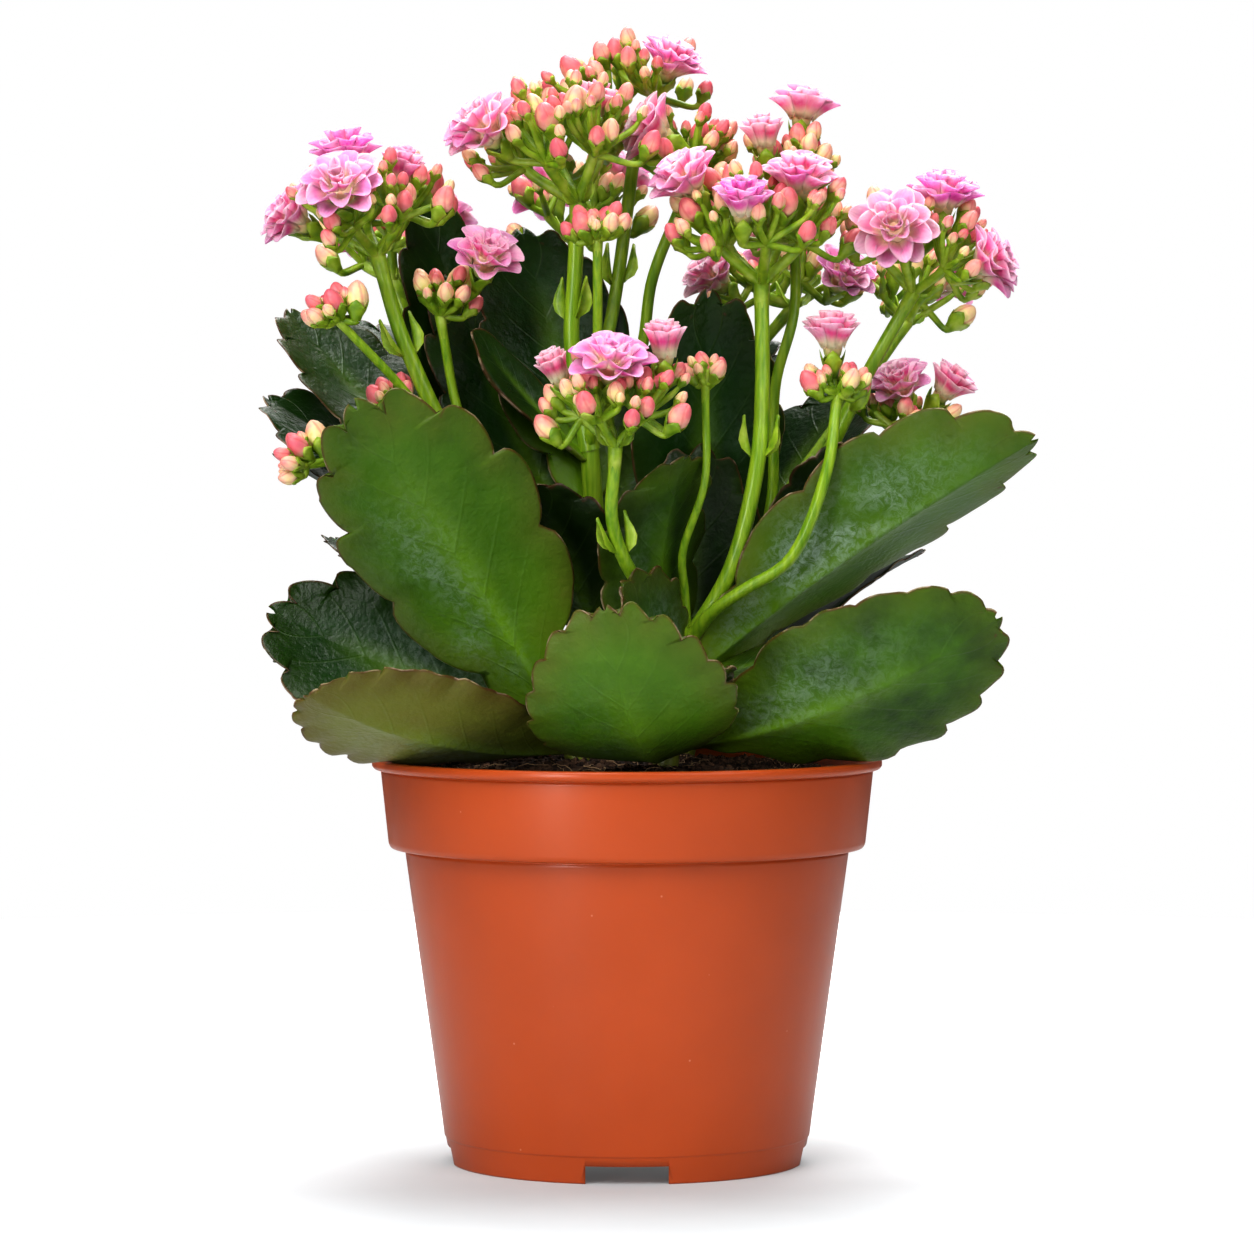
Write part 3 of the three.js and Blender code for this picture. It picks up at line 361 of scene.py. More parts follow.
# Coir fibre: dry, matt and straw coloured.
coir, tree, shader, spot = material("coir fibre", {"Roughness": 0.9})
dry = add(tree, "ShaderNodeTexNoise", {"Vector": spot, "Scale": 120})
tone = add(tree, "ShaderNodeValToRGB", {"Fac": dry}, stops=((0.3, "#6E5139"), (0.7, "#A88A66")))
plug(tree, shader, Base_Color=tone)

chance = np.random.default_rng(31)
fibres = []
for _ in range(FIBRE_COUNT):
    radius = FIBRE_SPREAD * math.sqrt(chance.random())
    angle, heading = 2 * math.pi * chance.random(2)
    x, y = radius * math.cos(angle), radius * math.sin(angle)
    length, bend = chance.uniform(3, 9), chance.uniform(-0.35, 0.35)
    line = []
    for k in range(6):
        line.append((x, y, soil_height(x, y) + 0.35 + 0.5 * math.sin(math.pi * k / 5)))
        heading += bend
        x, y = x + length / 5 * math.cos(heading), y + length / 5 * math.sin(heading)
    if math.hypot(x, y) < FIBRE_SPREAD + 1:
        fibres.append((line, [FIBRE_RADIUS] * len(line)))
fibre = place("soil_fibres", limbs(fibres, 4, coir))
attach(fibre, "root")

# Leafy shoots. Six fleshy stems stand in the soil, and carry opposite leaves and the stalks of the
# flower heads, all grown together. A leaf is a thick spoon-shaped blade with a scalloped margin and
# a raised middle vein below, glossier above than below.
LEAF_ROWS = 84
LEAF_COLUMNS = (0, 0.035, 0.08, 0.16, 0.3, 0.48, 0.66, 0.82, 0.93, 0.985, 1)
LEAF_WIDEST, LEAF_FOLD, PETIOLE_WIDTH = 0.6, 0.16, 4.6
FOLDED_HALF, FOLDED_RISE = 0.72, 0.6
LOBED_SHARE, LOBE_DEPTHS = 0.8, {2: 0.06, 5: 0.19, 6: 0.14, 7: 0.1, 8: 0.1}
FRILL, FRILL_TURN, SCALLOP_LIFT = 0.06, 2.3, 0.5
BLADE_HALF, MIDDLE_EXTRA, MIDDLE_WIDTH = 0.62, 0.35, 6
VEIN_WIDTH, VEIN_SUNK, VEIN_RAISED = 1.3, 0.3, 0.55
OUTER_SIDE, SUNBURNT_SHADE = -20, 1.45
STEM_SIDES = 14

# A leaf is (height of its node, tip, the way its upper side looks, width, arch, lobes a side), and
# last its habit, where it has one of its own: folded back along one half, stalked with a narrow
# foot, or sunburnt. A stem or a stalk is (points, (radius at its foot, radius at its end)).
SHOOTS = {
    "shoot_front": {
        "stem": (((8, -14, 78), (9, -14, 94), (12, -13, 110), (14.5, -12, 125)), (3.2, 2.5)),
        "leaves": (
            (99, (83, -49, 129), (-0.15, 0.85, 0.5), 46, -9, 7, "stalked"),
            (113, (93, -24, 169), (-0.35, 1.15, 0.5), 45, 5, 5, "folded"),
            (99, (19, -42, 116), (0, -0.5, 0.85), 22, 2, 5),
            (115, (41, -22, 125), (-0.1, -0.5, 0.9), 14, -4, 2),
            (97, (18, 1, 167), (0.05, 0.85, 0.4), 34, 3, 5),
            (109, (-1, -35, 136), (0.1, -0.7, 0.65), 28, 2, 5),
            (99, (-5, -66, 131), (0, 0.67, 0.74), 47, -16, 8),
            (108, (13, -30, 165), (-0.9, 1, 0.3), 32, 8, 5),
        ),
        "stalks": {
            "centre_front": (
                ((9.5, -18, 130.5), (1, -28, 139), (-3.4, -34, 151), (-2.8, -38, 164)), (1.7, 1.45)),
            "right_middle": (
                ((20, -13, 131.5), (25, -16, 142), (30.3, -18, 165), (31.4, -15, 182.5), (31.3, -12, 202)),
                (2, 1.7)),
            "right_small": (
                ((20, -18, 130), (27, -21, 135), (37.5, -23, 142), (46, -25, 162.6), (48.3, -22, 178)),
                (1.5, 1.3)),
            "centre_buds": (
                ((13.5, -14, 134), (12.8, -17, 143), (17.9, -24, 160), (18, -27, 180)), (1, 0.9)),
        },
    },
    "shoot_left": {
        "stem": (
            ((-10, -10, 78), (-11, -10, 94), (-22, -8, 120), (-34, -6, 148), (-40, -5, 167)), (3.2, 2.2)),
        "leaves": (
            (99, (-61, -44, 176), (0.1, 0.95, 0.2), 46, 5, 5),
            (98, (-71, -58, 112), (0.1, 0.6, 0.8), 44, -5, 8, "sunburnt"),
            (99, (-83, 4, 129), (-0.35, -0.75, 0.55), 40, -3, 5),
            (136, (-84, 1, 179), (0.85, -0.7, 0.8), 36, 2, 5),
            (154, (-80, 14, 200), (0.8, -0.6, 0.35), 39, -2, 5),
        ),
        "stalks": {
            "left_large": (
                ((-42.5, -5, 171.5), (-46.2, -6, 179), (-53.2, -7, 195.6), (-57.1, -8, 209)), (1.9, 1.7)),
            "left_buds": (((-44, -9, 171), (-52.7, -17, 182.4), (-65, -25, 195.5)), (1.1, 1)),
            "left_inner": (((-39, -2, 173), (-41, -1, 182), (-43.2, -4, 195.6)), (1.2, 1.1)),
            "left_low_buds": (((-44, -8, 167), (-57, -15, 166), (-72, -22, 164)), (1, 0.9)),
            "left_hidden_buds": (((-44, -3, 168), (-49, -1, 171), (-54, -1, 177)), (1, 0.9)),
        },
    },
    "shoot_centre": {
        "stem": (((-2, 6, 78), (-2, 6, 94), (-6, 4, 130), (-9, 0, 170)), (3, 2.3)),
        "leaves": (
            (127, (-42, 17, 208), (0.1, -1.15, 0.25), 30, 2, 5),
            (150, (-25, 16, 219), (0.25, -0.95, 0.65), 36, 2, 5),
            (165, (-36, -11, 195), (-0.2, -0.75, 1.05), 13, -2, 2),
            (138, (6, 30, 189), (-0.05, -0.5, 0.1), 34, -3, 5),
            (116, (-21, -13, 159), (0.3, 0.7, 0.35), 30, 1, 5),
        ),
        "stalks": {
            "centre_large": (
                ((-10.5, -0.5, 176), (-13, -3, 193), (-12.3, -4, 207), (-11.6, -5, 221)), (2, 1.8)),
            "centre_small": (((-8.5, -4, 174), (-7, -12, 190), (-6.8, -20, 214)), (1.2, 1.1)),
            "top_large": (((-9, 3.5, 175), (-3.5, 10, 200), (2, 20, 240)), (1.6, 1.5)),
            "top_right": (((-5.5, 1.5, 174), (3, 5, 190), (6, 5, 208), (13, 6, 226)), (1.4, 1.3)),
        },
    },
    "shoot_right": {
        "stem": (((12, 14, 78), (13, 14, 94), (24, 12, 125), (34, 8, 150)), (3, 2.3)),
        "leaves": (
            (127, (84, 19, 172), (-0.5, 0.15, 0.75), 34, 0, 5),
            (114, (19, -4, 203), (0.15, -0.75, 0.5), 36, -5, 5),
            (141, (59, -1, 169), (-0.15, 0.8, 1.2), 23, -1, 5),
            (98, (80, 38, 117), (-0.2, 0, 1), 46, 5, 7),
            (106, (70, 52, 142), (-0.4, -0.2, 0.9), 44, 4, 6),
            (120, (84, 30, 158), (-0.5, 0, 0.8), 42, 4, 5),
            (136, (57, 51, 184), (-0.6, -0.5, 0.6), 38, 3, 5),
        ),
        "stalks": {
            "right_back": (((34.5, 6.5, 158), (35, 2, 183), (39.4, 3, 200.5), (39, 10, 228)), (1.3, 1.2)),
            "right_large": (((38, 4.5, 154.5), (45, 1, 163), (57, -2, 186.4), (65.3, 0, 201)), (1.8, 1.5)),
            "right_low": (((40.5, 8.5, 151.5), (53, 9, 156), (64, 8, 167)), (1.3, 1.2)),
            "far_right": (((36.5, 13, 155), (51, 23, 175), (66, 36, 196)), (1.4, 1.3)),
        },
    },
    "shoot_left_back": {
        "stem": (((-14, 16, 78), (-15, 17, 94), (-24, 26, 125), (-36, 34, 160)), (3, 2.2)),
        "leaves": (
            (151, (-49, 17, 227), (0.3, -0.7, 0.7), 30, 3, 5),
            (97, (-84, 40, 116), (0.1, 0.05, 1.05), 46, 5, 7),
            (104, (-40, 78, 117), (-0.15, 0.35, 1.2), 46, 6, 6),
            (112, (-72, 56, 146), (0.4, -0.3, 0.8), 42, 4, 6),
            (124, (-84, 24, 166), (0.5, 0, 0.8), 40, 4, 5),
            (136, (-28, 74, 178), (0.2, -0.6, 0.7), 38, 4, 5),
            (144, (-66, 61, 199), (0.55, -0.55, 0.75), 34, 2, 5),
        ),
        "stalks": {
            "far_left": (((-38, 34, 166), (-46, 34, 180), (-55, 34, 205)), (1.7, 1.5)),
        },
    },
    "shoot_back": {
        "stem": (((4, 24, 78), (4, 25, 94), (4, 36, 125), (4, 40, 165)), (3, 2.2)),
        "leaves": (
            (99, (2, 88, 113), (0, 0, 1), 46, 5, 7),
            (105, (46, 81, 119), (0, 0, 1.05), 43, 6, 7),
            (116, (-30, 80, 148), (0, -0.4, 0.9), 40, 4, 6),
            (120, (38, 82, 152), (0, -0.4, 0.9), 40, 4, 5),
            (136, (6, 84, 178), (0, -0.6, 0.8), 38, 4, 5),
            (152, (34, 66, 196), (-0.3, -0.5, 0.7), 30, 3, 5),
        ),
        "stalks": {
            "back_large": (((2.5, 41, 171), (-6, 46, 190), (-12, 48, 215)), (1.7, 1.5)),
            "back_right": (((7.5, 40, 169), (22, 42, 182), (38, 42, 200)), (1.6, 1.4)),
        },
    },
}


def unit(v):
    """A vector of length 1 that way."""
    return np.asarray(v, float) / np.linalg.norm(v)


def smooth_path(points, count):
    """Evenly spaced points of a curve that runs smoothly through a few."""
    p = np.array(points, float)
    p = np.vstack([2 * p[0] - p[1], p, 2 * p[-1] - p[-2]])
    fine = []
    for a, b, c, d in zip(p, p[1:], p[2:], p[3:]):
        s, t, u = (math.sqrt(np.linalg.norm(m - n)) for m, n in ((b, a), (c, b), (d, c)))
        leave = ((b - a) / s - (c - a) / (s + t) + (c - b) / t) * t
        arrive = ((c - b) / t - (d - b) / (t + u) + (d - c) / u) * t
        for k in np.linspace(0, 1, 30, endpoint=False):
            fine.append((2 * k**3 - 3 * k**2 + 1) * b + (k**3 - 2 * k**2 + k) * leave
                        + (3 * k**2 - 2 * k**3) * c + (k**3 - k**2) * arrive)
    fine = np.array(fine + [p[-2]])
    run = np.r_[0, np.cumsum(np.linalg.norm(np.diff(fine, axis=0), axis=1))]
    even = np.linspace(0, run[-1], count)
    return np.c_[tuple(np.interp(even, run, fine[:, k]) for k in range(3))]


def leaf(base, tip, facing, width, arch, lobes, habit="", seed=0):
    """A blade's points, faces and, for each point, where on the leaf it is, with the leaf's painted light
    and painted glint.
    """
    base, run = np.array(base), np.array(tip, float) - base
    ahead = unit(run)
    up = unit(np.array(facing, float) - np.dot(facing, ahead) * ahead)
    right = np.cross(ahead, up)
    chance = np.random.default_rng(seed)
    lobe = LOBED_SHARE * math.pi / lobes
    sides = np.array([-c for c in LEAF_COLUMNS[:0:-1]] + list(LEAF_COLUMNS))
    phases = chance.uniform(0, 6.3, 4)
    uneven = chance.uniform(0.55, 1.25, (2, 2 * lobes))
    narrowing = 4 if habit == "stalked" else 2.5
    rows = []
    angles = np.r_[np.linspace(0.012, 0.9, LEAF_ROWS) * math.pi, math.pi]
    for angle in angles:
        last = angle == angles[-1]
        forward = math.cos(angle) > 0
        along = LEAF_WIDEST + math.cos(angle) * (1 - LEAF_WIDEST if forward else LEAF_WIDEST)
        wide = 0 if last else math.sin(angle) ** (1 if forward else narrowing)
        least = 0 if along >= 0.5 else PETIOLE_WIDTH / (4 if last else 2)
        fade = max(0, min(1, (0.84 * math.pi - angle) / 0.3))
        u = (angle / lobe + 0.5) % 1
        crest = math.sin(math.pi * (u if angle < 0.5 * lobe else u**0.6)) ** 0.55
        row = []
        for s in sides:
            half = max(wide * width / 2, least)
            if habit == "folded" and s < 0:
                half *= FOLDED_HALF
            dip = LOBE_DEPTHS[lobes] * uneven[int(s > 0)][int(angle / lobe)] * fade
            reach = 1 + (0.35 * dip - dip * (1 - crest)) * abs(s) ** 4
            aside = s * half * reach
            t = LEAF_WIDEST + (along - LEAF_WIDEST) * reach
            lift = LEAF_FOLD * half * abs(s) ** 1.45
            lift += FRILL * half * math.sin(FRILL_TURN * angle + phases[int(s > 0)]) * abs(s) ** 2.5
            lift += SCALLOP_LIFT * math.sin(2 * math.pi * angle / lobe + phases[2]) * abs(s) ** 5 * fade
            if habit == "folded" and s < 0:
                lift += FOLDED_RISE * abs(aside) * min(1, 3 * t)
            middle = base + t * run + 4 * arch * t * (1 - t) * up
            row.append((middle + aside * right + lift * up, t, s, aside))
        rows.append(row)
    outline = np.array([row[k][0] for row in rows[:-1] for k in (0, -1)])
    points, reach, across, upper, edge = [], [], [], [], []
    columns = len(sides)
    for side in (1, -1):
        for row in rows:
            for k, (spot, t, s, aside) in enumerate(row):
                if side < 0 and k in (0, columns - 1):
                    continue
                round_off = math.sqrt(max(0, 1 - abs(s) ** 9))
                thick = BLADE_HALF + MIDDLE_EXTRA * math.exp(-(aside / MIDDLE_WIDTH) ** 2)
                thick *= round_off * min(1, 0.35 + 3 * (1 - t))
                vein = math.exp(-(aside / VEIN_WIDTH) ** 2) * min(1, 6 * max(0, 1 - t) ** 1.2)
                thick += -VEIN_SUNK * vein if side > 0 else VEIN_RAISED * vein
                points.append(spot + side * thick * up)
                reach.append(t)
                across.append(s)
                upper.append(0.5 if round_off == 0 else (1 if side > 0 else 0))
                edge.append(np.min(np.linalg.norm(outline - spot, axis=1)))
    inner = columns - 2
    under = len(rows) * columns

    def low(i, k):
        return i * columns + k if k in (0, columns - 1) else under + i * inner + k - 1

    faces = []
    for i in range(len(rows) - 1):
        for k in range(columns - 1):
            a, b = i * columns + k, i * columns + k + 1
            faces.append((a, b, b + columns, a + columns))
            faces.append((low(i, k), low(i + 1, k), low(i + 1, k + 1), low(i, k + 1)))
    for i, order in ((0, -1), (len(rows) - 1, 1)):
        ring = [i * columns + k for k in range(columns)] + [low(i, k) for k in range(columns - 2, 0, -1)]
        faces.append(tuple(ring[::order]))
    # A leaf's painted light: a leaf that stands outside is painted paler, and one inside the plant is
    # painted dark, as painted shade.
    painted_light = (0.5 + 0.35 * chance.random()) if tip[1] < OUTER_SIDE else 0.25 * chance.random()
    painted_light = np.full(len(points), SUNBURNT_SHADE if habit == "sunburnt" else painted_light)
    # A painted glint, a silvery painted reflection, lies along one half of the blade, strongest on the
    # folded leaf.
    painted_glint = np.exp(-((np.array(across) - 0.35) / 0.4) ** 2 - ((np.array(reach) - 0.42) / 0.3) ** 2)
    painted_glint *= 1 if habit == "folded" else 0.5 * chance.random()
    return points, faces, {"reach": reach, "across": across, "upper": upper, "edge": edge,
                           "painted_light": painted_light, "painted_glint": painted_glint}


# Leaf skin: a thick cuticle, waxy and deep green above, with sunk veins. Below it is duller. On both sides
# each leaf's painted light sets its green, from near black as painted shade inside the plant to olive on
# the most lit leaves. Both sides are yellow towards the stalk.
cuticle, tree, shader, spot = material(
    "waxy leaf skin",
    {"IOR": 1.45, "Specular IOR Level": 0.3, "Subsurface Weight": 0.12,
     "Subsurface Radius": (0.35, 0.8, 0.1), "Subsurface Scale": 0.002},
)
t, s, upper, edge, painted_light, painted_glint = (
    add(tree, "ShaderNodeAttribute", attribute_name=name).outputs["Fac"]
    for name in ("reach", "across", "upper", "edge", "painted_light", "painted_glint"))
aside = add(tree, "ShaderNodeMath", {0: s}, operation="ABSOLUTE")
cloud = add(tree, "ShaderNodeTexNoise", {"Vector": spot, "Scale": 70, "Detail": 5, "Roughness": 0.6})
# The leaf's painted light, low as painted shade inside the plant, is mixed with random clouds to pick its
# green.
mixed = add(tree, "ShaderNodeMath", {0: painted_light, 1: 0.5, 2: 0.12}, operation="MULTIPLY_ADD")
mixed = add(tree, "ShaderNodeMath", {0: cloud, 1: 0.58, 2: mixed}, operation="MULTIPLY_ADD")
above = add(tree, "ShaderNodeValToRGB", {"Fac": mixed},
            stops=((0.25, "#0A2104"), (0.6, "#183D08"), (1.0, "#325F12")))
below = add(tree, "ShaderNodeValToRGB", {"Fac": mixed}, stops=(
    (0.3, "#081B02"), (0.52, "#133003"), (0.74, "#42690A"), (0.93, "#557A18"), (1.0, "#71762E")))
# The middle vein and the way to the stalk are yellow green.
vein = add(tree, "ShaderNodeMapRange", {"Value": aside, "From Min": 0.3, "From Max": 0, "To Max": 0.9},
           interpolation_type="SMOOTHSTEP")
near = add(tree, "ShaderNodeMapRange", {"Value": t, "From Min": 0.85, "From Max": 0.1})
vein = add(tree, "ShaderNodeMath", {0: vein, 1: near}, operation="MULTIPLY")
stalk = add(tree, "ShaderNodeMapRange", {"Value": t, "From Min": 0.5, "From Max": 0.02, "To Max": 0.7},
            interpolation_type="SMOOTHSTEP")
vein = add(tree, "ShaderNodeMath", {0: vein, 1: stalk}, operation="MAXIMUM")
# Side veins leave the middle one forwards, about one for each scallop.
ladder = add(tree, "ShaderNodeMath", {0: aside, 1: -0.28, 2: t}, operation="MULTIPLY_ADD")
ladder = add(tree, "ShaderNodeMath", {0: ladder, 1: 0.07}, operation="PINGPONG")
rung = add(tree, "ShaderNodeMapRange", {"Value": ladder, "From Min": 0.009, "From Max": 0, "To Max": 1},
           interpolation_type="SMOOTHSTEP")
fade = add(tree, "ShaderNodeMapRange", {"Value": aside, "From Min": 0.85, "From Max": 0.3})
rung = add(tree, "ShaderNodeMath", {0: rung, 1: fade}, operation="MULTIPLY")
faint = add(tree, "ShaderNodeMath", {0: rung, 1: 0.09}, operation="MULTIPLY")
# The painted glint (bloom) is a pale painted reflection, broken by the fine wrinkles of the skin and in
# patches.
wrinkled = add(tree, "ShaderNodeTexNoise", {"Vector": spot, "Scale": 480, "Detail": 5, "Roughness": 0.75,
                                            "Distortion": 0.8})
wrinkled = add(tree, "ShaderNodeMapRange",
               {"Value": wrinkled, "From Min": 0.42, "From Max": 0.6, "To Min": 0.12})
patchy = add(tree, "ShaderNodeTexNoise", {"Vector": spot, "Scale": 75, "Detail": 2})
patchy = add(tree, "ShaderNodeMapRange", {"Value": patchy, "From Min": 0.3, "From Max": 0.52})
bloom = add(tree, "ShaderNodeMath", {0: painted_glint, 1: wrinkled}, operation="MULTIPLY")
bloom = add(tree, "ShaderNodeMath", {0: bloom, 1: patchy}, operation="MULTIPLY")
bloom = add(tree, "ShaderNodeMath", {0: bloom, 1: 0.85}, operation="MULTIPLY")
# A leaf with high painted light is tanned for 9 mm inwards. The reddish brown hem on the margin is 0.8 mm
# wide and comes and goes, and its very edge carries a broken, pale painted highlight.
patch = add(tree, "ShaderNodeTexNoise", {"Vector": spot, "Scale": 140})
patch = add(tree, "ShaderNodeMapRange", {"Value": patch, "From Min": 0.3, "From Max": 0.6, "To Min": 0.25})
tanned = add(tree, "ShaderNodeMapRange", {"Value": edge, "From Min": 9, "From Max": 0, "To Max": 0.9})
tanned = add(tree, "ShaderNodeMath", {0: tanned, 1: cloud}, operation="MULTIPLY")
tanned = add(tree, "ShaderNodeMath", {0: tanned, 1: painted_light}, operation="MULTIPLY")
hem = add(tree, "ShaderNodeMapRange", {"Value": edge, "From Min": 0.8, "From Max": 0.2, "To Max": 0.7},
          interpolation_type="SMOOTHSTEP")
hem = add(tree, "ShaderNodeMath", {0: hem, 1: patch}, operation="MULTIPLY")
edge_glint = add(tree, "ShaderNodeMapRange", {"Value": edge, "From Min": 0.3, "From Max": 0.1, "To Max": 0.7})
glint_breaks = add(tree, "ShaderNodeTexNoise", {"Vector": spot, "Scale": 300})
glint_breaks = add(tree, "ShaderNodeMapRange", {"Value": glint_breaks, "From Min": 0.48, "From Max": 0.6})
edge_glint = add(tree, "ShaderNodeMath", {0: edge_glint, 1: glint_breaks}, operation="MULTIPLY")
# The veins, the painted glint, the tan, the hem and the pale painted highlight of the edge are laid over
# the leaf's green.
body = add(tree, "ShaderNodeMix", {0: upper, 6: below, 7: above}, data_type="RGBA")
for share, colour in ((vein, "#76A010"), (faint, "#64853A"), (bloom, "#ABC0B0"), (tanned, "#5C4A1E"),
                      (hem, "#5A2C1C"), (edge_glint, "#A8917A")):
    body = add(tree, "ShaderNodeMix", {0: share, 6: body, 7: colour}, data_type="RGBA")
gloss = add(tree, "ShaderNodeMapRange", {"Value": upper, "To Min": 0.33, "To Max": 0.22})
uneven = add(tree, "ShaderNodeMath", {0: cloud, 1: 0.16, 2: gloss}, operation="MULTIPLY_ADD")
pebbled = add(tree, "ShaderNodeTexNoise", {"Vector": spot, "Scale": 650, "Detail": 3})
relief = add(tree, "ShaderNodeMath", {0: rung, 1: -0.3, 2: pebbled}, operation="MULTIPLY_ADD")
quilted = add(tree, "ShaderNodeMath", {0: cloud, 1: 2.2, 2: relief}, operation="MULTIPLY_ADD")
skin = add(tree, "ShaderNodeBump", {"Height": quilted, "Strength": 0.4, "Distance": 0.0006})
plug(tree, shader, Base_Color=body, Roughness=uneven, Normal=skin)

# Stem and stalk skin: smooth, juicy and lime green, with long pale streaks, and brown at the soil.
stalk_skin, tree, shader, spot = material(
    "flower stalk skin",
    {"Roughness": 0.34, "Subsurface Weight": 0.15, "Subsurface Radius": (0.5, 0.8, 0.1),
     "Subsurface Scale": 0.002},
)
drawn = add(tree, "ShaderNodeMapping", {"Vector": spot, "Scale": (1, 1, 0.05)})
streak = add(tree, "ShaderNodeTexNoise", {"Vector": drawn, "Scale": 900, "Detail": 2})
tone = add(tree, "ShaderNodeValToRGB", {"Fac": streak}, stops=((0.3, "#6A9412"), (0.7, "#9DBB2A")))
height = add(tree, "ShaderNodeSeparateXYZ", {0: spot}).outputs["Z"]
low = add(tree, "ShaderNodeMapRange",
          {"Value": height, "From Min": 0.115, "From Max": 0.092, "To Max": 0.8})
tone = add(tree, "ShaderNodeMix", {0: low, 6: tone, 7: "#5A4B22"}, data_type="RGBA")
skin = add(tree, "ShaderNodeBump", {"Height": streak, "Strength": 0.15, "Distance": 0.0003})
plug(tree, shader, Base_Color=tone, Normal=skin)


def stem_path(points, radii, swollen=0.0):
    """A stem's even points and tapering radii, with the foot swollen by that share."""
    count = max(12, int(sum(math.dist(a, b) for a, b in zip(points, points[1:])) / 2.5))
    line = smooth_path(points, count)
    share = np.linspace(0, 1, count)
    widths = radii[0] + (radii[1] - radii[0]) * share
    return line, widths * (1 + swollen * np.exp(-share * 14))


for number, (name, shoot) in enumerate(SHOOTS.items()):
    stem, stem_radii = shoot["stem"]
    line = smooth_path(stem, 400)
    points, faces, marks = [], [], {}
    for k, (height, *shape) in enumerate(shoot["leaves"]):
        base = line[np.argmax(line[:, 2] >= height)] if line[-1, 2] >= height else line[-1]
        blade, blade_faces, where = leaf(base, *shape, seed=100 * number + k)
        faces += [tuple(len(points) + v for v in face) for face in blade_faces]
        points += blade
        for key, values in where.items():
            marks.setdefault(key, []).extend(values)
    leaves = place(name.replace("shoot", "leaves"), mesh_of(name, points, faces, **marks), cuticle)
    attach(leaves, "root")
    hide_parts(name)
    line, widths = stem_path(stem, stem_radii)
    beyond = line[-1] + 2 * unit(line[-1] - line[-2])
    paths = [(np.vstack([line, beyond]), np.r_[widths, 0.5 * widths[-1]])]
    start = stem[-1] - 2.5 * unit(np.subtract(stem[-1], stem[-2]))
    for points, radii in shoot["stalks"].values():
        paths.append(stem_path((start, *points), radii, swollen=0.3))
    stems = place(name.replace("shoot", "stems"), limbs(paths, STEM_SIDES, stalk_skin))
    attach(stems, "root")

# Flower heads. Each stalk ends in a loose dome of forked branches, and each last twig carries a
# plump bud or an open flower in a four-pointed green calyx. All of it has grown from the stalk.
BUD_LENGTH, BUD_RADIUS = 7.2, 0.38
BUD_TRIES, SMALL_BUD_TRIES, FIRST_SMALL_BUD = 6, 14, 200
SMALL_BUDS = 2
JOINT_GAP, GOLDEN_ANGLE = 0.55, 2.39996
FORK_RISE, FORK_OUT, FORK_TWIGS, FEW = 0.42, 0.4, 5, 6
SHUT_SLOPE, OPEN_SLOPE = 1.15, 0.22
STALK_BRACT, FLOWER_CALYX = (4, 10, 7), (2.9, 2.9, 9)
BRANCH_SIDES = 8
CALYX, BRACT = 0, 1

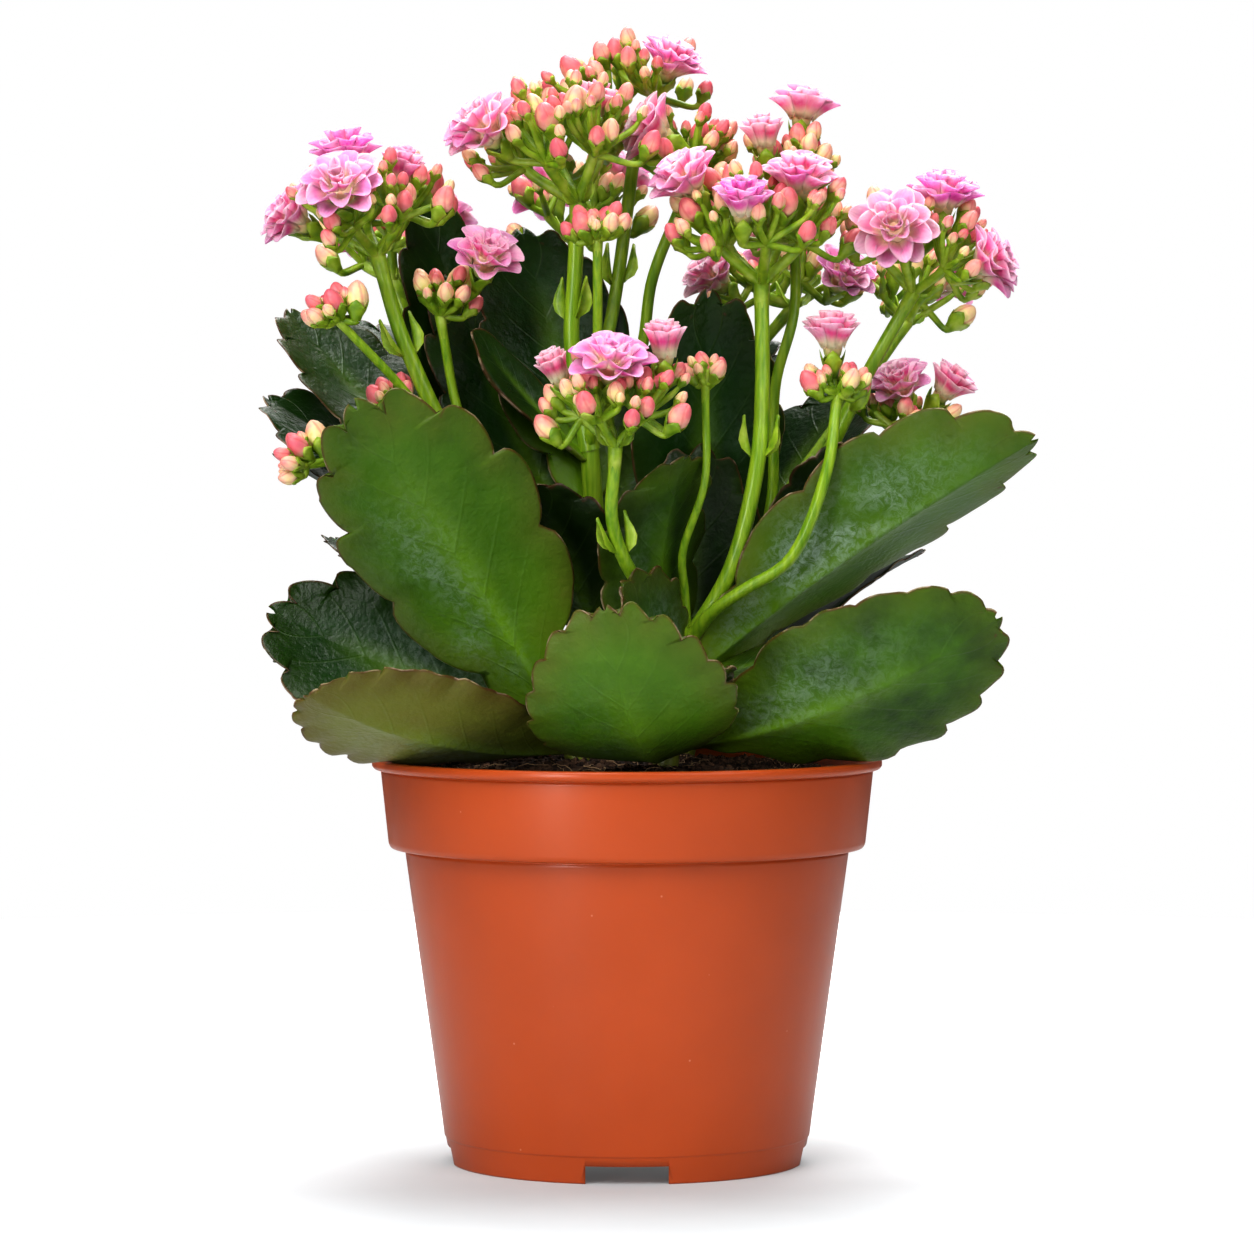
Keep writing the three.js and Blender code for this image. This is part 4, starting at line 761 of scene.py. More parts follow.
# A head is (the way it leans, the dome's radius, its height, the turn of its forks, how many large
# buds it has, its flowers). A flower is (middle of the petals' edge, the way it looks, radius, how
# far it is open, how mauve it is).
HEADS = {
    "left_large": ((-0.2, -0.1, 1), 23, 27, 0.5, 17, (
        ((-66, -26, 228), (-0.15, -0.75, 0.65), 10.5, 1, 0.6),
        ((-66, -9, 238), (-0.1, -0.1, 1), 9.5, 0.8, 0.9),
        ((-79, -13, 222), (-0.8, -0.35, 0.5), 9, 0.8, 0.5),
        ((-52, -13, 234), (0.25, -0.2, 1), 8.5, 0.5, 0.4))),
    "left_buds": ((-0.5, -0.1, 0.8), 8, 9, 0.5, 5, ()),
    "left_inner": ((0.1, -0.1, 1), 9, 14, 0.5, 5, (
        ((-32.4, -14, 213), (0.25, -0.6, 0.75), 9.5, 0.9, 0.5),)),
    "left_low_buds": ((-0.8, -0.1, 0.5), 7, 8, 0.8, 4, ()),
    "left_hidden_buds": ((-0.2, -0.1, 1), 7, 7, 0.5, 4, ()),
    "centre_large": ((-0.2, -0.05, 1), 24, 34, 5.5, 22, (
        ((-34, -18, 242.5), (-0.6, -0.45, 0.65), 10.5, 0.9, 0.4),
        ((-7, -6, 250), (0.3, -0.1, 1), 8, 0.5, 0))),
    "centre_small": ((0, -0.1, 1), 8, 9, 1.1, 5, ()),
    "top_large": ((-0.25, 0, 1), 23, 25, 0.5, 15, (
        ((11, 14, 261), (0.4, -0.3, 0.9), 9, 0.8, 0.5),)),
    "top_right": ((0.05, 0, 1), 13, 22, 0.5, 8, (
        ((4.5, 0, 243.5), (-0.85, -0.15, 0.5), 10, 0.8, 0.2),)),
    "right_back": ((0.05, 0.05, 1), 12, 15, 1.1, 6, (
        ((32, 1, 243), (-0.1, -0.1, 1), 8, 0.5, 0),
        ((42, 14, 250), (0.15, 0.1, 1), 9, 0.8, 0.2))),
    "right_middle": ((-0.05, -0.05, 1), 25, 31, 6.1, 22, (
        ((12.6, -18, 231), (-0.55, -0.35, 0.75), 10, 0.8, 0.5),
        ((26.5, -31, 225.5), (0, -0.35, 0.95), 9, 0.6, 1),
        ((40, -20, 231.5), (0.1, -0.25, 1), 10, 0.8, 0.5))),
    "right_large": ((0.25, -0.05, 1), 21, 26, 1.8, 12, (
        ((62, -14, 219), (-0.1, -0.9, 0.35), 10.5, 1, 0.4),
        ((74.5, -3, 228.5), (0.1, -0.2, 1), 9.5, 0.8, 0.8),
        ((86, -7, 211.5), (0.85, -0.3, 0.4), 9.5, 0.8, 0.5))),
    "right_small": ((0, 0, 1), 8, 9, 0.5, 5, (
        ((47.4, -22, 195.5), (0, -0.15, 1), 9, 0.6, 0.2),)),
    "right_low": ((0.2, -0.1, 1), 13, 15, 4.1, 6, (
        ((64, 2, 184), (-0.3, -0.5, 0.85), 8.5, 0.8, 0.5),
        ((77, 5, 184), (0.6, -0.2, 0.75), 8, 0.6, 0.2))),
    "centre_front": ((0, -0.1, 1), 18, 25, 0.5, 16, (
        ((-3.5, -47, 187.5), (0.03, -0.5, 0.87), 10, 1, 0.8),
        ((-17, -42, 187), (-0.45, -0.2, 0.9), 7.5, 0.3, 0),
        ((8.5, -41, 193), (0, -0.2, 1), 8.5, 0.4, 0.1))),
    "centre_buds": ((0.1, 0, 1), 5, 9, 0.5, 3, ()),
    "far_left": ((-0.1, 0.3, 1), 20, 22, 1.5, 7, (
        ((-64, 44, 221), (-0.4, 0.5, 0.8), 10, 0.9, 0.5),
        ((-46, 46, 226), (0.2, 0.5, 0.85), 9.5, 0.8, 0.3))),
    "back_large": ((0, 0.3, 1), 21, 23, 0.5, 7, (
        ((-20, 62, 233), (-0.3, 0.6, 0.75), 10, 0.9, 0.6),
        ((-2, 58, 237), (0.3, 0.3, 0.9), 9.5, 0.8, 0.3))),
    "back_right": ((0, 0.2, 1), 22, 18, 0.5, 7, (
        ((20, 30, 211), (-0.6, -0.4, 0.6), 9, 0.8, 0.4),
        ((53, 30, 211), (0.4, -0.6, 0.6), 9, 0.8, 0.7),
        ((38, 60, 216), (0, 0.6, 0.8), 10, 0.9, 0.4))),
    "far_right": ((0.2, 0.3, 1), 17, 20, 0.5, 6, (
        ((78, 46, 211), (0.6, 0.5, 0.6), 10, 0.9, 0.5),)),
}


def jitter(i, k):
    """A repeatable number from -1 to 1."""
    s = math.sin(i * 12.9898 + k * 78.233) * 43758.5453
    return 2 * (s - math.floor(s)) - 1


def frame_around(z):
    """Two directions at right angles to z and to each other."""
    x = unit(np.cross((0, 0, 1) if abs(z[2]) < 0.9 else (0, 1, 0), z))
    return x, np.cross(z, x)


def flower_parts(middle, face, radius, is_open, mauve):
    """Where a flower's parts are, and how it looks."""
    z = unit(face)
    x, y = frame_around(z)
    slope = SHUT_SLOPE + (OPEN_SLOPE - SHUT_SLOPE) * is_open
    centre = np.array(middle, float) - 0.45 * radius * math.sin(slope) * z
    count = 4 if is_open < 0.7 else 5 + (radius > 9.6)
    return {"x": x, "y": y, "z": z, "slope": slope, "centre": centre, "foot": centre - 0.55 * radius * z,
            "radius": radius, "count": count, "open": is_open, "mauve": mauve}


def touches(straight, others, gap):
    """Whether a straight piece (from, to, radius) comes within a gap of any of the others."""
    if not others:
        return False
    p, q, radius = straight
    starts, ends = (np.array([o[k] for o in others]) for k in (0, 1))
    reach = radius + gap + np.array([o[2] for o in others])
    one, two, apart = q - p, ends - starts, p - starts
    a, e = one @ one, (two * two).sum(1)
    b, c, f = two @ one, apart @ one, (two * apart).sum(1)
    spread = a * e - b * b
    s = np.where(spread > 1e-12, np.clip((b * f - c * e) / np.where(spread > 1e-12, spread, 1), 0, 1), 0)
    t = (b * s + f) / e
    s = np.where(t < 0, np.clip(-c / a, 0, 1), np.where(t > 1, np.clip((b - c) / a, 0, 1), s))
    t = np.clip(t, 0, 1)
    between = p + s[:, None] * one - (starts + t[:, None] * two)
    return bool((np.linalg.norm(between, axis=1) < reach).any())


def flower_room(flower):
    """The straight pieces (from, to, radius) that buds keep clear of, round a flower."""
    centre, radius = flower["centre"], flower["radius"]
    room = [(flower["foot"], centre, 0.3 * radius)]
    for k in range(flower["count"]):
        angle = 2 * math.pi * k / flower["count"]
        out = math.cos(angle) * flower["x"] + math.sin(angle) * flower["y"]
        tip = centre + radius * (math.cos(flower["slope"]) * out + math.sin(flower["slope"]) * flower["z"])
        room.append((centre + flower["z"], 0.85 * tip + 0.15 * centre, 0.22 * radius))
    return room


def plan_head(head, stalk, flowers, taken):
    """Where a head's crown and forks are, and the twigs of each fork with what they carry."""
    lean, radius, height, turn, bud_count, _ = head
    foot = np.array(stalk[0][-1], float)
    way = unit(foot - np.array(stalk[0][-2], float))
    axis = unit(lean)
    x, y = frame_around(axis)
    crown = foot + min(4, 0.25 * height) * way
    few = bud_count + len(flowers) <= FEW
    fork_count = 1 if few else min(5, 3 + bud_count // 6)
    forks = []
    for i in range(fork_count):
        angle = 2 * math.pi * i / fork_count + turn
        out = math.cos(angle) * x + math.sin(angle) * y
        spot = crown if few else foot + FORK_RISE * height * axis + FORK_OUT * radius * out
        forks.append({"place": spot, "most": FEW if few else FORK_TWIGS, "out": out, "twigs": 0})
    own, buds, calyces = [], [], []

    def nearest(p, full=False):
        """The nearest fork that may carry another twig, or that may be full."""
        free = [f for f in forks if full or f["twigs"] < f["most"]]
        return min(free, key=lambda f: np.linalg.norm(f["place"] - p)) if free else None

    for flower in flowers:
        base = flower["foot"] - 4 * flower["z"]
        fork = nearest(base)
        fork["twigs"] += 1
        calyces.append((fork, base, flower["z"]))
        own.append((base, flower["foot"] - JOINT_GAP * flower["z"], 1.9))
        own.append((0.7 * fork["place"] + 0.3 * base, base, 0.8))

    def try_bud(i, share, rise, size, gap, full):
        """Adds a bud where it has room. It gives None once no fork can carry one."""
        angle = turn + i * GOLDEN_ANGLE + 0.4 * jitter(i, 1)
        out = math.cos(angle) * x + math.sin(angle) * y
        spot = foot + rise * axis + 0.92 * radius * share * out
        direction = unit(axis + 0.8 * share * out)
        length = BUD_LENGTH * size
        fork = nearest(spot, full)
        if fork is None:
            return None
        base, tip = spot - 0.5 * length * direction, spot + 0.5 * length * direction
        wide = BUD_RADIUS * length
        body = (base + 0.6 * wide * direction, tip - 0.8 * wide * direction, 0.9 * wide)
        twig = (0.7 * fork["place"] + 0.3 * base, base, 0.6)
        inside = min(0, gap - JOINT_GAP)
        if any(touches(part, taken, gap) or touches(part, own, inside) for part in (body, twig)):
            return False
        own.extend((body, twig))
        fork["twigs"] += 1
        buds.append((fork, base, direction, length, wide, i))
        return True

    kept = 0
    for i in range(BUD_TRIES * bud_count):
        if kept == bud_count:
            break
        share = math.sqrt((i % bud_count + 0.7) / bud_count)
        rise = height * (0.92 - 0.5 * share**2 + 0.12 * jitter(i, 2))
        made = try_bud(i, share, rise, 1 - 0.2 * share + 0.2 * jitter(i, 3), JOINT_GAP, False)
        if made is None:
            break
        kept += made
    # Younger buds fill in between and under the large ones.
    small = 0
    for i in range(FIRST_SMALL_BUD, FIRST_SMALL_BUD + SMALL_BUD_TRIES * bud_count):
        if small >= SMALL_BUDS * bud_count:
            break
        share = math.sqrt(0.5 + 0.5 * jitter(i, 4))
        rise = height * (0.94 - 0.3 * share**2 + 0.14 * jitter(i, 2))
        small += bool(try_bud(i, share, rise, 0.58 + 0.18 * jitter(i, 3), -0.3, True))
    own.extend((crown, fork["place"], 1) for fork in forks if not few)
    return {"foot": foot, "way": way, "crown": crown, "forks": forks, "few": few, "buds": buds,
            "calyces": calyces, "room": own, "axis": axis}


spread_tool, given = node_tool("shapes set out", Places="Geometry", Shapes="Collection", Finish="Material")
turn, size, kind = (
    add(spread_tool, "GeometryNodeInputNamedAttribute", {"Name": name}, data_type=data)
    for name, data in (("turn", "FLOAT_VECTOR"), ("size", "FLOAT_VECTOR"), ("kind", "INT")))
lay_out(spread_tool, given, given.outputs["Places"], kind, turn, size)


def set_out(rows, shapes, finish):
    """The mesh of shapes set out at rows of (place, x, y, z, size, kind, tint), in millimetres."""
    mesh = mesh_of("places", [row[0] for row in rows], [], tint=[row[6] for row in rows])
    turns = [Matrix(np.c_[row[1], row[2], row[3]].tolist()).to_euler() for row in rows]
    sizes = [row[4] for row in rows]
    for name, vectors in (("turn", turns), ("size", sizes)):
        layer = mesh.attributes.new(name, "FLOAT_VECTOR", "POINT")
        layer.data.foreach_set("vector", np.array(vectors, np.float32).ravel())
    kinds = mesh.attributes.new("kind", "INT", "POINT")
    kinds.data.foreach_set("value", [row[5] for row in rows])
    return made_by(spread_tool, place("places", mesh), Shapes=shapes, Finish=finish)


def bud_mesh(twist, parted, sides=12):
    """A bud a millimetre long and of a millimetre's radius, of four petals wrapped round each other."""
    section = [(0, 0), (0.55, 0.04), (0.86, 0.16), (1, 0.34), (0.97, 0.54), (0.8, 0.74), (0.52, 0.89),
               (0.2 + parted, 0.975), (0, 1 - parted)]
    points, faces = turned(section, sides)
    shaped, reach, around = [], [], []
    for x, y, z in points:
        angle = math.atan2(y, x) + twist * z
        swell = 1 + 0.06 * math.cos(4 * angle) * math.sin(math.pi * min(1, z + 0.1))
        shaped.append((x * swell, y * swell, z))
        reach.append(z)
        around.append(angle)
    return mesh_of("bud", shaped, faces, reach=reach, around=around)


def calyx_mesh(sides=16):
    """A cup with four pointed sepals, of a millimetre's radius, that holds a bud's foot."""
    walls = np.array((
        (0, -0.36, 0), (0.4, -0.34, 0), (0.56, -0.16, 0), (0.82, 0.02, 0), (0.97, 0.14, 0.4),
        (1.06, 0.24, 1), (0.98, 0.2, 0.9), (0.66, 0.04, 0), (0, 0.02, 0)))
    points, faces = turned(walls[:, :2], sides)
    pulled = []
    for (x, y, z), rise in zip(points, np.r_[np.repeat(walls[1:-1, 2], sides), 0, 0]):
        sepal = abs(math.cos(2 * math.atan2(y, x))) ** 1.3
        pulled.append((x, y, z + 0.3 * rise * (sepal - 0.45)))
    return mesh_of("calyx", pulled, faces)


def blade_mesh(widest, blunt, cup, curl, thick=0.02, rows=8, columns=7):
    """A petal or bract a millimetre long and wide that grows along +Y and looks along +Z."""
    points, reach, across = [], [], []
    shares = [math.sin(math.pi / 2 * k / (rows - 1)) for k in range(rows)]
    sides = np.linspace(-1, 1, columns)
    outline = []
    for t in shares:
        rise = math.sin(math.pi / 2 * min(1, t / widest)) ** 0.8
        fall = math.cos(math.pi / 2 * max(0, t - widest) / (1 - widest))
        outline.append((0.3 + 0.7 * rise) * max(0, fall) ** blunt)
    for side in (1, -1):
        for t, wide in zip(shares, outline):
            for s in sides:
                round_off = math.sqrt(max(0.0, 1 - s**4)) * (0.35 if t == 1 else 1)
                lift = cup * (s * wide) ** 2 + curl * t * t + side * thick * round_off
                points.append((0.5 * s * wide, t, lift))
                reach.append(t)
                across.append(s)
    size = rows * columns
    faces = []
    for i in range(rows - 1):
        for k in range(columns - 1):
            a = i * columns + k
            faces.append((a, a + 1, a + 1 + columns, a + columns))
            faces.append((size + a, size + a + columns, size + a + 1 + columns, size + a + 1))
    ring = [*range(columns)] + [i * columns + columns - 1 for i in range(1, rows)]
    ring += [(rows - 1) * columns + k for k in range(columns - 2, -1, -1)]
    ring += [i * columns for i in range(rows - 2, 0, -1)]
    for a, b in zip(ring, ring[1:] + ring[:1]):
        faces.append((a, size + a, size + b, b))
    upper = [1] * size + [0] * size
    return mesh_of("blade", points, faces, reach=reach, across=across, upper=upper)


def joined_mesh(name, meshes):
    """One mesh of several that share a finish."""
    parts = [place(f"{name}_{i}", mesh) for i, mesh in enumerate(meshes)]
    with bpy.context.temp_override(active_object=parts[0], object=parts[0], selected_objects=parts,
                                   selected_editable_objects=parts):
        bpy.ops.object.join()
    mesh = parts[0].data.copy()
    bpy.data.objects.remove(parts[0])
    return mesh


# Bud skin: folded petals seen from outside. They go from yellow green at the foot through cream to
# coral at the tip, redder on riper buds, with darker seams and a satin bloom.
bud_skin, tree, shader, spot = material(
    "bud skin",
    {"Roughness": 0.42, "Subsurface Weight": 0.2, "Subsurface Radius": (1, 0.4, 0.25),
     "Subsurface Scale": 0.0015},
)
reach, around, tint = (
    add(tree, "ShaderNodeAttribute", attribute_name=name).outputs["Fac"]
    for name in ("reach", "around", "tint"))
blush = add(tree, "ShaderNodeTexNoise", {"Vector": spot, "Scale": 330, "Detail": 2})
ripe = add(tree, "ShaderNodeMath", {0: reach, 1: 0.42, 2: tint}, operation="MULTIPLY_ADD")
ripe = add(tree, "ShaderNodeMath", {0: blush, 1: 0.75, 2: ripe}, operation="MULTIPLY_ADD")
ripe = add(tree, "ShaderNodeMath", {0: ripe, 1: 0.62}, operation="MULTIPLY")
tone = add(tree, "ShaderNodeValToRGB", {"Fac": ripe}, stops=(
    (0.16, "#B4C455"), (0.33, "#F6E0A0"), (0.48, "#F4BFA4"), (0.64, "#EA7F84"), (0.9, "#D24E6C")))
seam = add(tree, "ShaderNodeMath", {0: around, 1: 4.0}, operation="MULTIPLY")
seam = add(tree, "ShaderNodeMath", {0: seam}, operation="COSINE")
seam = add(tree, "ShaderNodeMapRange", {"Value": seam, "From Min": -0.75, "From Max": -1, "To Max": 0.4})
tone = add(tree, "ShaderNodeMix", {0: seam, 6: tone, 7: "#D2505A"}, data_type="RGBA")
ridge = add(tree, "ShaderNodeMath", {0: seam, 1: -0.5, 2: blush}, operation="MULTIPLY_ADD")
skin = add(tree, "ShaderNodeBump", {"Height": ridge, "Strength": 0.3, "Distance": 0.0003})
plug(tree, shader, Base_Color=tone, Normal=skin)

# Twig and calyx skin: thin and juicy, in lighter and darker patches of yellow green.
twig_skin, tree, shader, spot = material(
    "twig and calyx skin",
    {"Roughness": 0.4, "Subsurface Weight": 0.15, "Subsurface Radius": (0.5, 0.8, 0.1),
     "Subsurface Scale": 0.0015},
)
cloud = add(tree, "ShaderNodeTexNoise", {"Vector": spot, "Scale": 260, "Detail": 3})
tone = add(tree, "ShaderNodeValToRGB", {"Fac": cloud},
           stops=((0.3, "#658B14"), (0.55, "#97B32A"), (0.75, "#B8C858")))
skin = add(tree, "ShaderNodeBump", {"Height": cloud, "Strength": 0.25, "Distance": 0.0003})
plug(tree, shader, Base_Color=tone, Normal=skin)

bud_shapes = shape_set("bud", [bud_mesh(0.5, 0), bud_mesh(1.1, 0.03), bud_mesh(-0.6, 0.0)])
green_shapes = shape_set("calyx", [calyx_mesh(), blade_mesh(0.35, 1, 0.25, -0.2, thick=0.06)])

stalks = {}
for shoot in SHOOTS.values():
    stalks.update(shoot["stalks"])
flowers = {name: [flower_parts(*flower) for flower in head[5]] for name, head in HEADS.items()}
taken = {name: [room for flower in some for room in flower_room(flower)] for name, some in flowers.items()}
stalk_room = {}
for name, (points, radii) in stalks.items():
    line = smooth_path(points, 9)
    stalk_room[name] = [(a, b, radii[0]) for a, b in zip(line, line[1:])]


def twig_path(start, base, direction, radii):
    """A twig that leaves its fork straight and comes round to carry what is on it."""
    reach = np.linalg.norm(base - start)
    a, b = start + 0.45 * (base - start), base - 0.25 * reach * direction
    shares = np.linspace(0, 1, 8)[:, None]
    line = ((1 - shares) ** 3 * start + 3 * shares * (1 - shares) ** 2 * a
            + 3 * shares**2 * (1 - shares) * b + shares**3 * base)
    return line, np.interp(shares.ravel(), (0, 0.7, 1), radii)


def bract(spot, axis, out, lean, size):
    """A bract's row for set_out, which leans out from an axis."""
    ahead = unit(axis + lean * out)
    side = unit(np.cross(ahead, out))
    return spot, side, ahead, np.cross(side, ahead), size, BRACT, 0.5


for name, head in HEADS.items():
    room = [r for some in taken.values() for r in some]
    room += [r for other, some in stalk_room.items() if other != name for r in some]
    plan = plan_head(head, stalks[name], flowers[name], room)
    taken[name] += plan["room"]
    thick = stalks[name][1][1]
    foot, crown, way, axis = (plan[key] for key in ("foot", "crown", "way", "axis"))
    paths = [((foot - 2 * way, foot, crown, crown + 0.8 * way),
              (thick, 1.08 * thick, 1.2 * thick, 0.6 * thick))]
    greens, buds = [], []
    if head[4] > 10:
        node, after = smooth_path(stalks[name][0], 9)[4:6]
        for out in (plan["forks"][0]["out"], -plan["forks"][0]["out"]):
            greens.append(bract(node + thick * out, unit(after - node), out, 0.4, STALK_BRACT))
    for k, fork in enumerate(plan["forks"]):
        if plan["few"] or not fork["twigs"]:
            continue
        out = fork["out"]
        paths.append(twig_path(crown, fork["place"], unit(out + 1.6 * axis),
                               (0.85 * thick, 0.7 * thick, 1.25)))
        if k % 2 == 0:
            size = (0.45 * thick + 2.2, 2.8 * thick + 3, 5)
            greens.append(bract(crown + 0.8 * thick * out, axis, out, 0.9, size))
    for fork, base, z in plan["calyces"]:
        paths.append(twig_path(fork["place"], base, z, (0.9, 0.9, 1.3)))
        greens.append((base + 2.6 * z, *frame_around(z), z, FLOWER_CALYX, CALYX, 0.5))
    for fork, base, direction, length, wide, i in plan["buds"]:
        paths.append(twig_path(fork["place"], base - 0.3 * length * direction, direction,
                               (0.9, 0.75, 0.42 * wide)))
        x, y = frame_around(direction)
        turn = 2.1 * i
        x, y = math.cos(turn) * x + math.sin(turn) * y, math.cos(turn) * y - math.sin(turn) * x
        tint = 0.5 + 0.5 * jitter(i, 6)
        blush = 0.5 * tint - 0.25 * max(0, 0.6 - length / BUD_LENGTH)
        buds.append((base, x, y, direction, (wide, wide, length), i % 3, blush))
        greens.append((base, x, y, direction, (1.02 * wide, 1.02 * wide, 0.95 * length), CALYX, tint))
    green = joined_mesh(f"branches_{name}", [
        limbs(paths, BRANCH_SIDES, twig_skin), set_out(greens, green_shapes, twig_skin)])
    branches = place(f"branches_{name}", green, twig_skin)
    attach(branches, "root")
    bunch = place(f"buds_{name}", set_out(buds, bud_shapes, bud_skin))
    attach(bunch, "root")
    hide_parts(f"head_{name}")

# Flowers. A double flower is a pale tube that opens into four whorls of thin, pointed petals, each
# whorl smaller and steeper than the one outside it, round a cream-yellow heart.
TUBE_WIDTH, CLOSED_LENGTH, STEEPEST = 0.33, 0.8, 1.55

# A whorl is (share of the radius to the petal's foot, rise, length, how much steeper, half width,
# how far it is turned in steps, how many petals it has).
WHORLS = (
    (0.3, -0.3, 0.78, 0.48, 0.31, 0, 7),
    (0.26, -0.1, 0.7, 0.46, 0.3, 0.5, 7),
    (0.2, 0.06, 0.56, 0.72, 0.25, 0.2, 6),
    (0.12, 0.1, 0.4, 1.05, 0.17, 0.6, 5),
)


def tube_mesh(sides=10):
    """A flower's tube, a millimetre long and of a millimetre's radius at its mouth."""
    section = [(0, 0), (0.5, 0), (0.68, 0.2), (0.78, 0.45), (0.84, 0.7), (0.98, 0.92), (1.02, 1.02),
               (0, 1.06)]
    points, faces = turned(section, sides)
    return mesh_of("tube", points, faces, reach=[p[2] - 1.05 for p in points],
                   across=[0] * len(points), upper=[0] * len(points))


# Petal: thin and silky, cream at the foot, pink to mauve over the blade with fine veins, and a
# stronger pink outside. The rim is pale on pink petals and deep on mauve ones.
petal, tree, shader, spot = material(
    "petal",
    {"Roughness": 0.55, "Subsurface Weight": 0.5, "Subsurface Radius": (1, 0.6, 0.85),
     "Subsurface Scale": 0.003, "Sheen Weight": 0.15, "Sheen Roughness": 0.4},
)
reach, across, upper, tint = (
    add(tree, "ShaderNodeAttribute", attribute_name=name).outputs["Fac"]
    for name in ("reach", "across", "upper", "tint"))
cloud = add(tree, "ShaderNodeTexNoise", {"Vector": spot, "Scale": 240, "Detail": 3})
pink, deep, margin = (
    add(tree, "ShaderNodeMix", {0: tint, 6: rosy, 7: mauve}, data_type="RGBA")
    for rosy, mauve in (("#FF85B2", "#FA98E8"), ("#F2487E", "#DE38A6"), ("#FFE3EC", "#E04CB6")))
ripple = add(tree, "ShaderNodeMath", {0: across, 1: 22.0}, operation="MULTIPLY")
ripple = add(tree, "ShaderNodeMath", {0: ripple}, operation="SINE")
vein = add(tree, "ShaderNodeMapRange", {"Value": ripple, "From Min": 0.4, "From Max": 1, "To Max": 0.14})
aside = add(tree, "ShaderNodeMath", {0: across}, operation="ABSOLUTE")
far = add(tree, "ShaderNodeMath", {0: aside, 1: reach}, operation="MAXIMUM")
rim = add(tree, "ShaderNodeMapRange", {"Value": far, "From Min": 0.62, "From Max": 1, "To Max": 0.6})
blotch = add(tree, "ShaderNodeMapRange",
             {"Value": cloud, "From Min": 0.42, "From Max": 0.7, "To Max": 0.5})
heart = add(tree, "ShaderNodeMapRange", {"Value": reach, "From Min": 0.6, "From Max": 0.1, "To Max": 0.9},
            interpolation_type="SMOOTHSTEP")
flushed = add(tree, "ShaderNodeMapRange", {"Value": reach, "From Min": 0, "From Max": -0.1, "To Max": 0.6})
flushed = add(tree, "ShaderNodeMath", {0: flushed, 1: cloud}, operation="MULTIPLY")
tube = add(tree, "ShaderNodeMapRange", {"Value": reach, "From Min": -0.4, "From Max": -0.9})
body = add(tree, "ShaderNodeMix", {0: upper, 6: deep, 7: pink}, data_type="RGBA")
for share, colour in ((vein, "#D85FA6"), (rim, margin), (blotch, "#FFD5E4"), (heart, "#FBE9BE"),
                      (flushed, "#EE8A86"), (tube, "#A9B857")):
    body = add(tree, "ShaderNodeMix", {0: share, 6: body, 7: colour}, data_type="RGBA")
skin = add(tree, "ShaderNodeBump", {"Height": ripple, "Strength": 0.15, "Distance": 0.0002})
plug(tree, shader, Base_Color=body, Normal=skin)

petal_shapes = shape_set("petal", [
    tube_mesh(),
    blade_mesh(0.68, 0.35, 0.3, -0.3),
    blade_mesh(0.7, 0.36, 0.42, -0.2),
    blade_mesh(0.68, 0.36, 0.55, -0.05),
    blade_mesh(0.62, 0.45, 0.6, 0.1),
])

for name, some in flowers.items():
    for number, flower in enumerate(some, 1):
        x, y, z, radius = (flower[key] for key in ("x", "y", "z", "radius"))
        length = np.linalg.norm(flower["centre"] - flower["foot"])
        wide = TUBE_WIDTH * radius
        rows = [(flower["foot"], x, y, z, (wide, wide, length), 0, flower["mauve"])]
        closed = max(0, 0.75 - flower["open"])
        seed = sum(map(ord, name)) + 37 * number
        for w, (middle, rise, long, steeper, half, spin, count) in enumerate(WHORLS):
            step = 2 * math.pi / count
            for k in range(count):
                i = seed + 11 * w + k
                angle = (k + spin) * step + 0.14 * jitter(i, 1)
                slope = flower["slope"] + steeper + 0.8 * closed + 0.12 * jitter(i, 2)
                slope = min(STEEPEST, slope)
                out = math.cos(angle) * x + math.sin(angle) * y
                ahead = math.cos(slope) * out + math.sin(slope) * z
                face = math.cos(slope) * z - math.sin(slope) * out
                root = flower["centre"] + middle * radius * out + (rise * radius + 0.3) * z
                reach = (long + (CLOSED_LENGTH - long) * closed) * radius * (1 + 0.08 * jitter(i, 3))
                wide = 2 * half * radius * (1 + 0.08 * jitter(i, 4))
                tint = min(1, max(0, flower["mauve"] + 0.25 * jitter(i, 5) - 0.08 * w))
                rows.append((root, np.cross(ahead, face), ahead, face, (wide, reach, reach), 1 + w, tint))
        bloom = place(f"flower_{name}_{number}", set_out(rows, petal_shapes, petal))
        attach(bloom, "root")
        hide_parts(f"bloom_{name}_{number}")

# Studio. A plain pale table, a white surround, and large soft lights: two in front to the left, a weaker
# one to the right, and two above and behind that draw the leaves' edges. The table carries a painted glow
# that only the camera sees, growing away from the pot so that it runs into the white behind it. Near the
# pot's foot the glow is weak, which leaves a painted grey shadow round the foot, reaching furthest in
# front.
CAMERA_PLACE, CAMERA_AIM_HEIGHT = (0, -1.13, 0.154), 0.1259
CAMERA_LENS, SENSOR_WIDTH = 137.86, 36
TABLE_RADIUS, TABLE_THICKNESS, TABLE_SIDES = 700, 4, 96
SURROUND_LIGHT = 0.13

# A light is (name, place, what it points at, width in metres, power in watts).
LIGHTS = (
    ("key", (-0.45, -0.95, 1.15), (0, 0, 0.12), 1.1, 19),
    ("fill", (0.75, -1.0, 0.7), (0, 0, 0.12), 1.0, 7),
    ("low", (-0.62, -1.0, 0.1), (0, 0, 0.06), 0.2, 4),
    ("top", (0.05, 0.25, 1.2), (0, 0, 0.15), 0.9, 17),
    ("back", (0.2, 0.95, 1.1), (0, 0, 0.15), 0.7, 8),
)
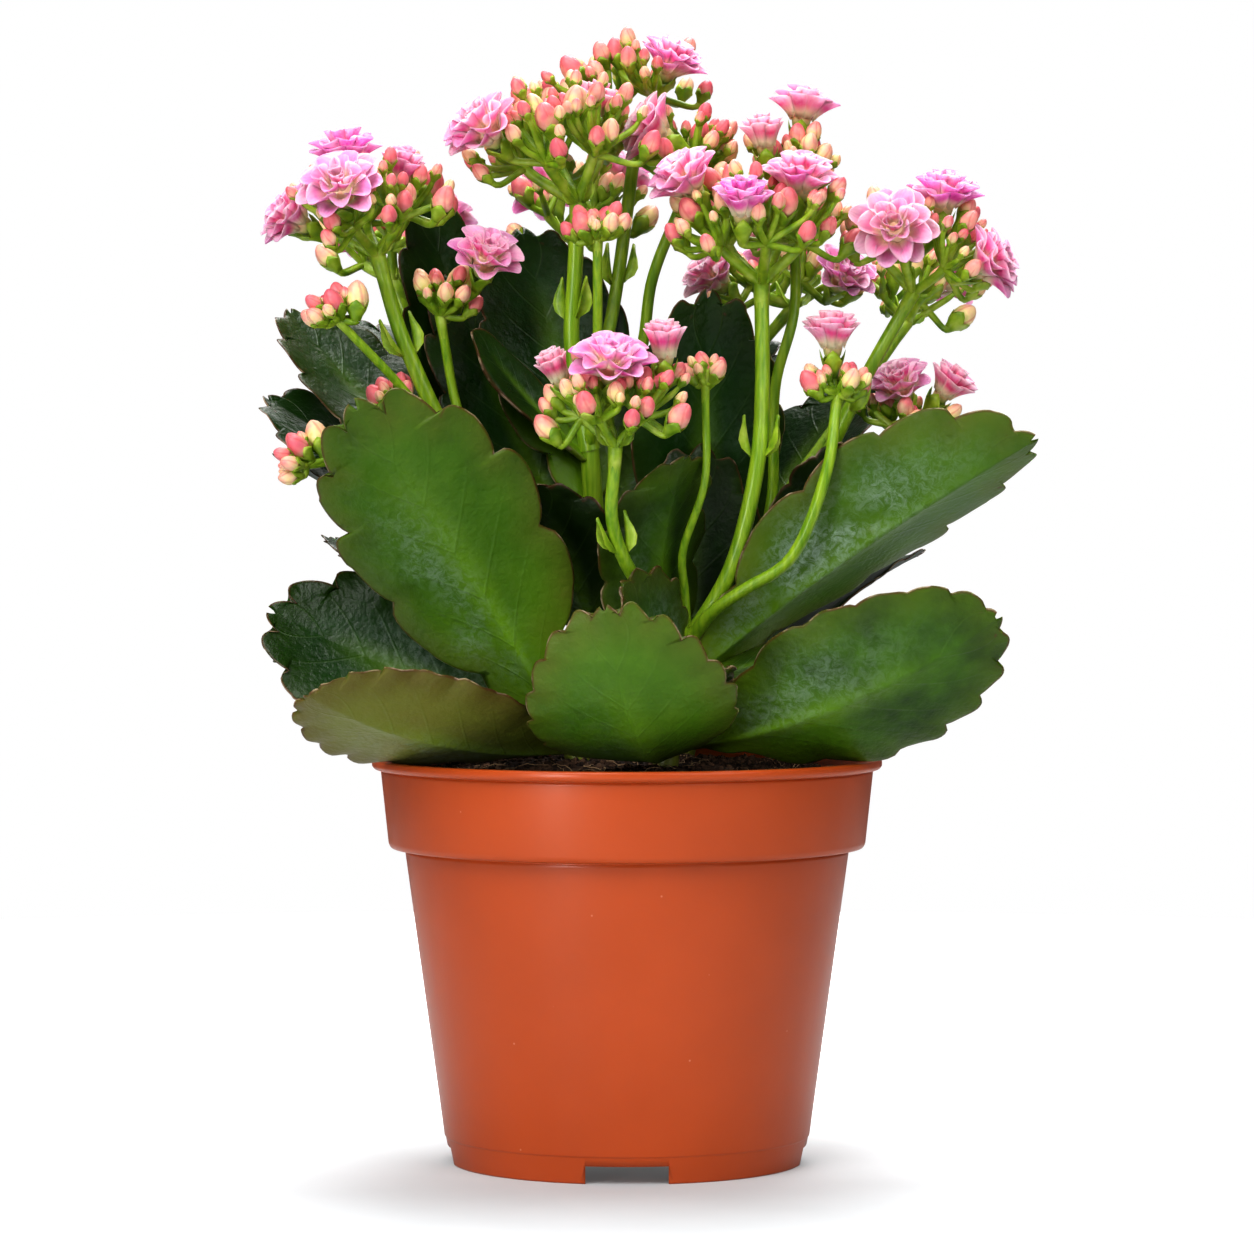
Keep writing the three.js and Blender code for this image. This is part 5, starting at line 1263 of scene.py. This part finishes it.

# Matt acrylic sheet: light grey, with a barely clouded surface. Only the camera sees its painted glow,
# which paints it white away from the pot and leaves a painted shadow of grey round the pot's foot.
board, tree, shader, spot = material(
    "matt acrylic with painted glow", {"Roughness": 0.75, "Specular IOR Level": 0.25, "Emission Color": (1, 1, 1, 1)})
fine = add(tree, "ShaderNodeTexNoise", {"Vector": spot, "Scale": 60, "Detail": 3})
tone = add(tree, "ShaderNodeValToRGB", {"Fac": fine}, stops=((0, "#BFC3C5"), (1, "#C5C8CA")))
around_foot = add(tree, "ShaderNodeMapping",
                  {"Vector": spot, "Location": (0, 0.07, 0), "Scale": (1.2, 1, 1)})
away = add(tree, "ShaderNodeVectorMath", {0: around_foot}, operation="LENGTH").outputs["Value"]
# Painted glow: weak near the pot's foot, as a painted shadow, and strong further away.
painted_glow = add(tree, "ShaderNodeMapRange",
            {"Value": away, "From Min": 0.02, "From Max": 0.29, "To Min": 0.08, "To Max": 1.2},
            interpolation_type="SMOOTHSTEP")
seen = add(tree, "ShaderNodeLightPath").outputs["Is Camera Ray"]
painted_glow = add(tree, "ShaderNodeMath", {0: painted_glow, 1: seen}, operation="MULTIPLY")
plug(tree, shader, Base_Color=tone, Emission_Strength=painted_glow)
slab = [(0, -TABLE_THICKNESS), (TABLE_RADIUS, -TABLE_THICKNESS), (TABLE_RADIUS, 0), (0, 0)]
table = place("table", mesh_of("table", *turned(slab, TABLE_SIDES)), board)

world = bpy.data.worlds.new("studio")
bpy.context.scene.world = world
world.use_nodes = True
tree = world.node_tree
sky = tree.nodes["Background"]
path = add(tree, "ShaderNodeLightPath")
strength = add(tree, "ShaderNodeMapRange",
               {"Value": path.outputs["Is Camera Ray"], "To Min": SURROUND_LIGHT, "To Max": 1.0})
sky.inputs["Color"].default_value = linear("#FFFFFF")
tree.links.new(strength.outputs[0], sky.inputs["Strength"])

for name, spot, aim, size, power in LIGHTS:
    lamp = bpy.data.lights.new(name, "AREA")
    lamp.shape, lamp.size, lamp.energy = "DISK", size, power
    obj = stand(name, lamp)
    obj.location = spot
    obj.rotation_euler = (Vector(spot) - Vector(aim)).to_track_quat("Z", "Y").to_euler()

lens = bpy.data.cameras.new("camera")
lens.lens, lens.sensor_width, lens.sensor_fit = CAMERA_LENS, SENSOR_WIDTH, "HORIZONTAL"
lens.clip_start, lens.clip_end = 0.05, 20
camera = stand("camera", lens)
camera.location = CAMERA_PLACE
below = math.atan2(CAMERA_PLACE[2] - CAMERA_AIM_HEIGHT, -CAMERA_PLACE[1])
camera.rotation_euler = (math.pi / 2 - below, 0, 0)
bpy.context.scene.camera = camera
bpy.context.scene.view_settings.view_transform = "Standard"
bpy.context.scene.view_settings.gamma = 0.84
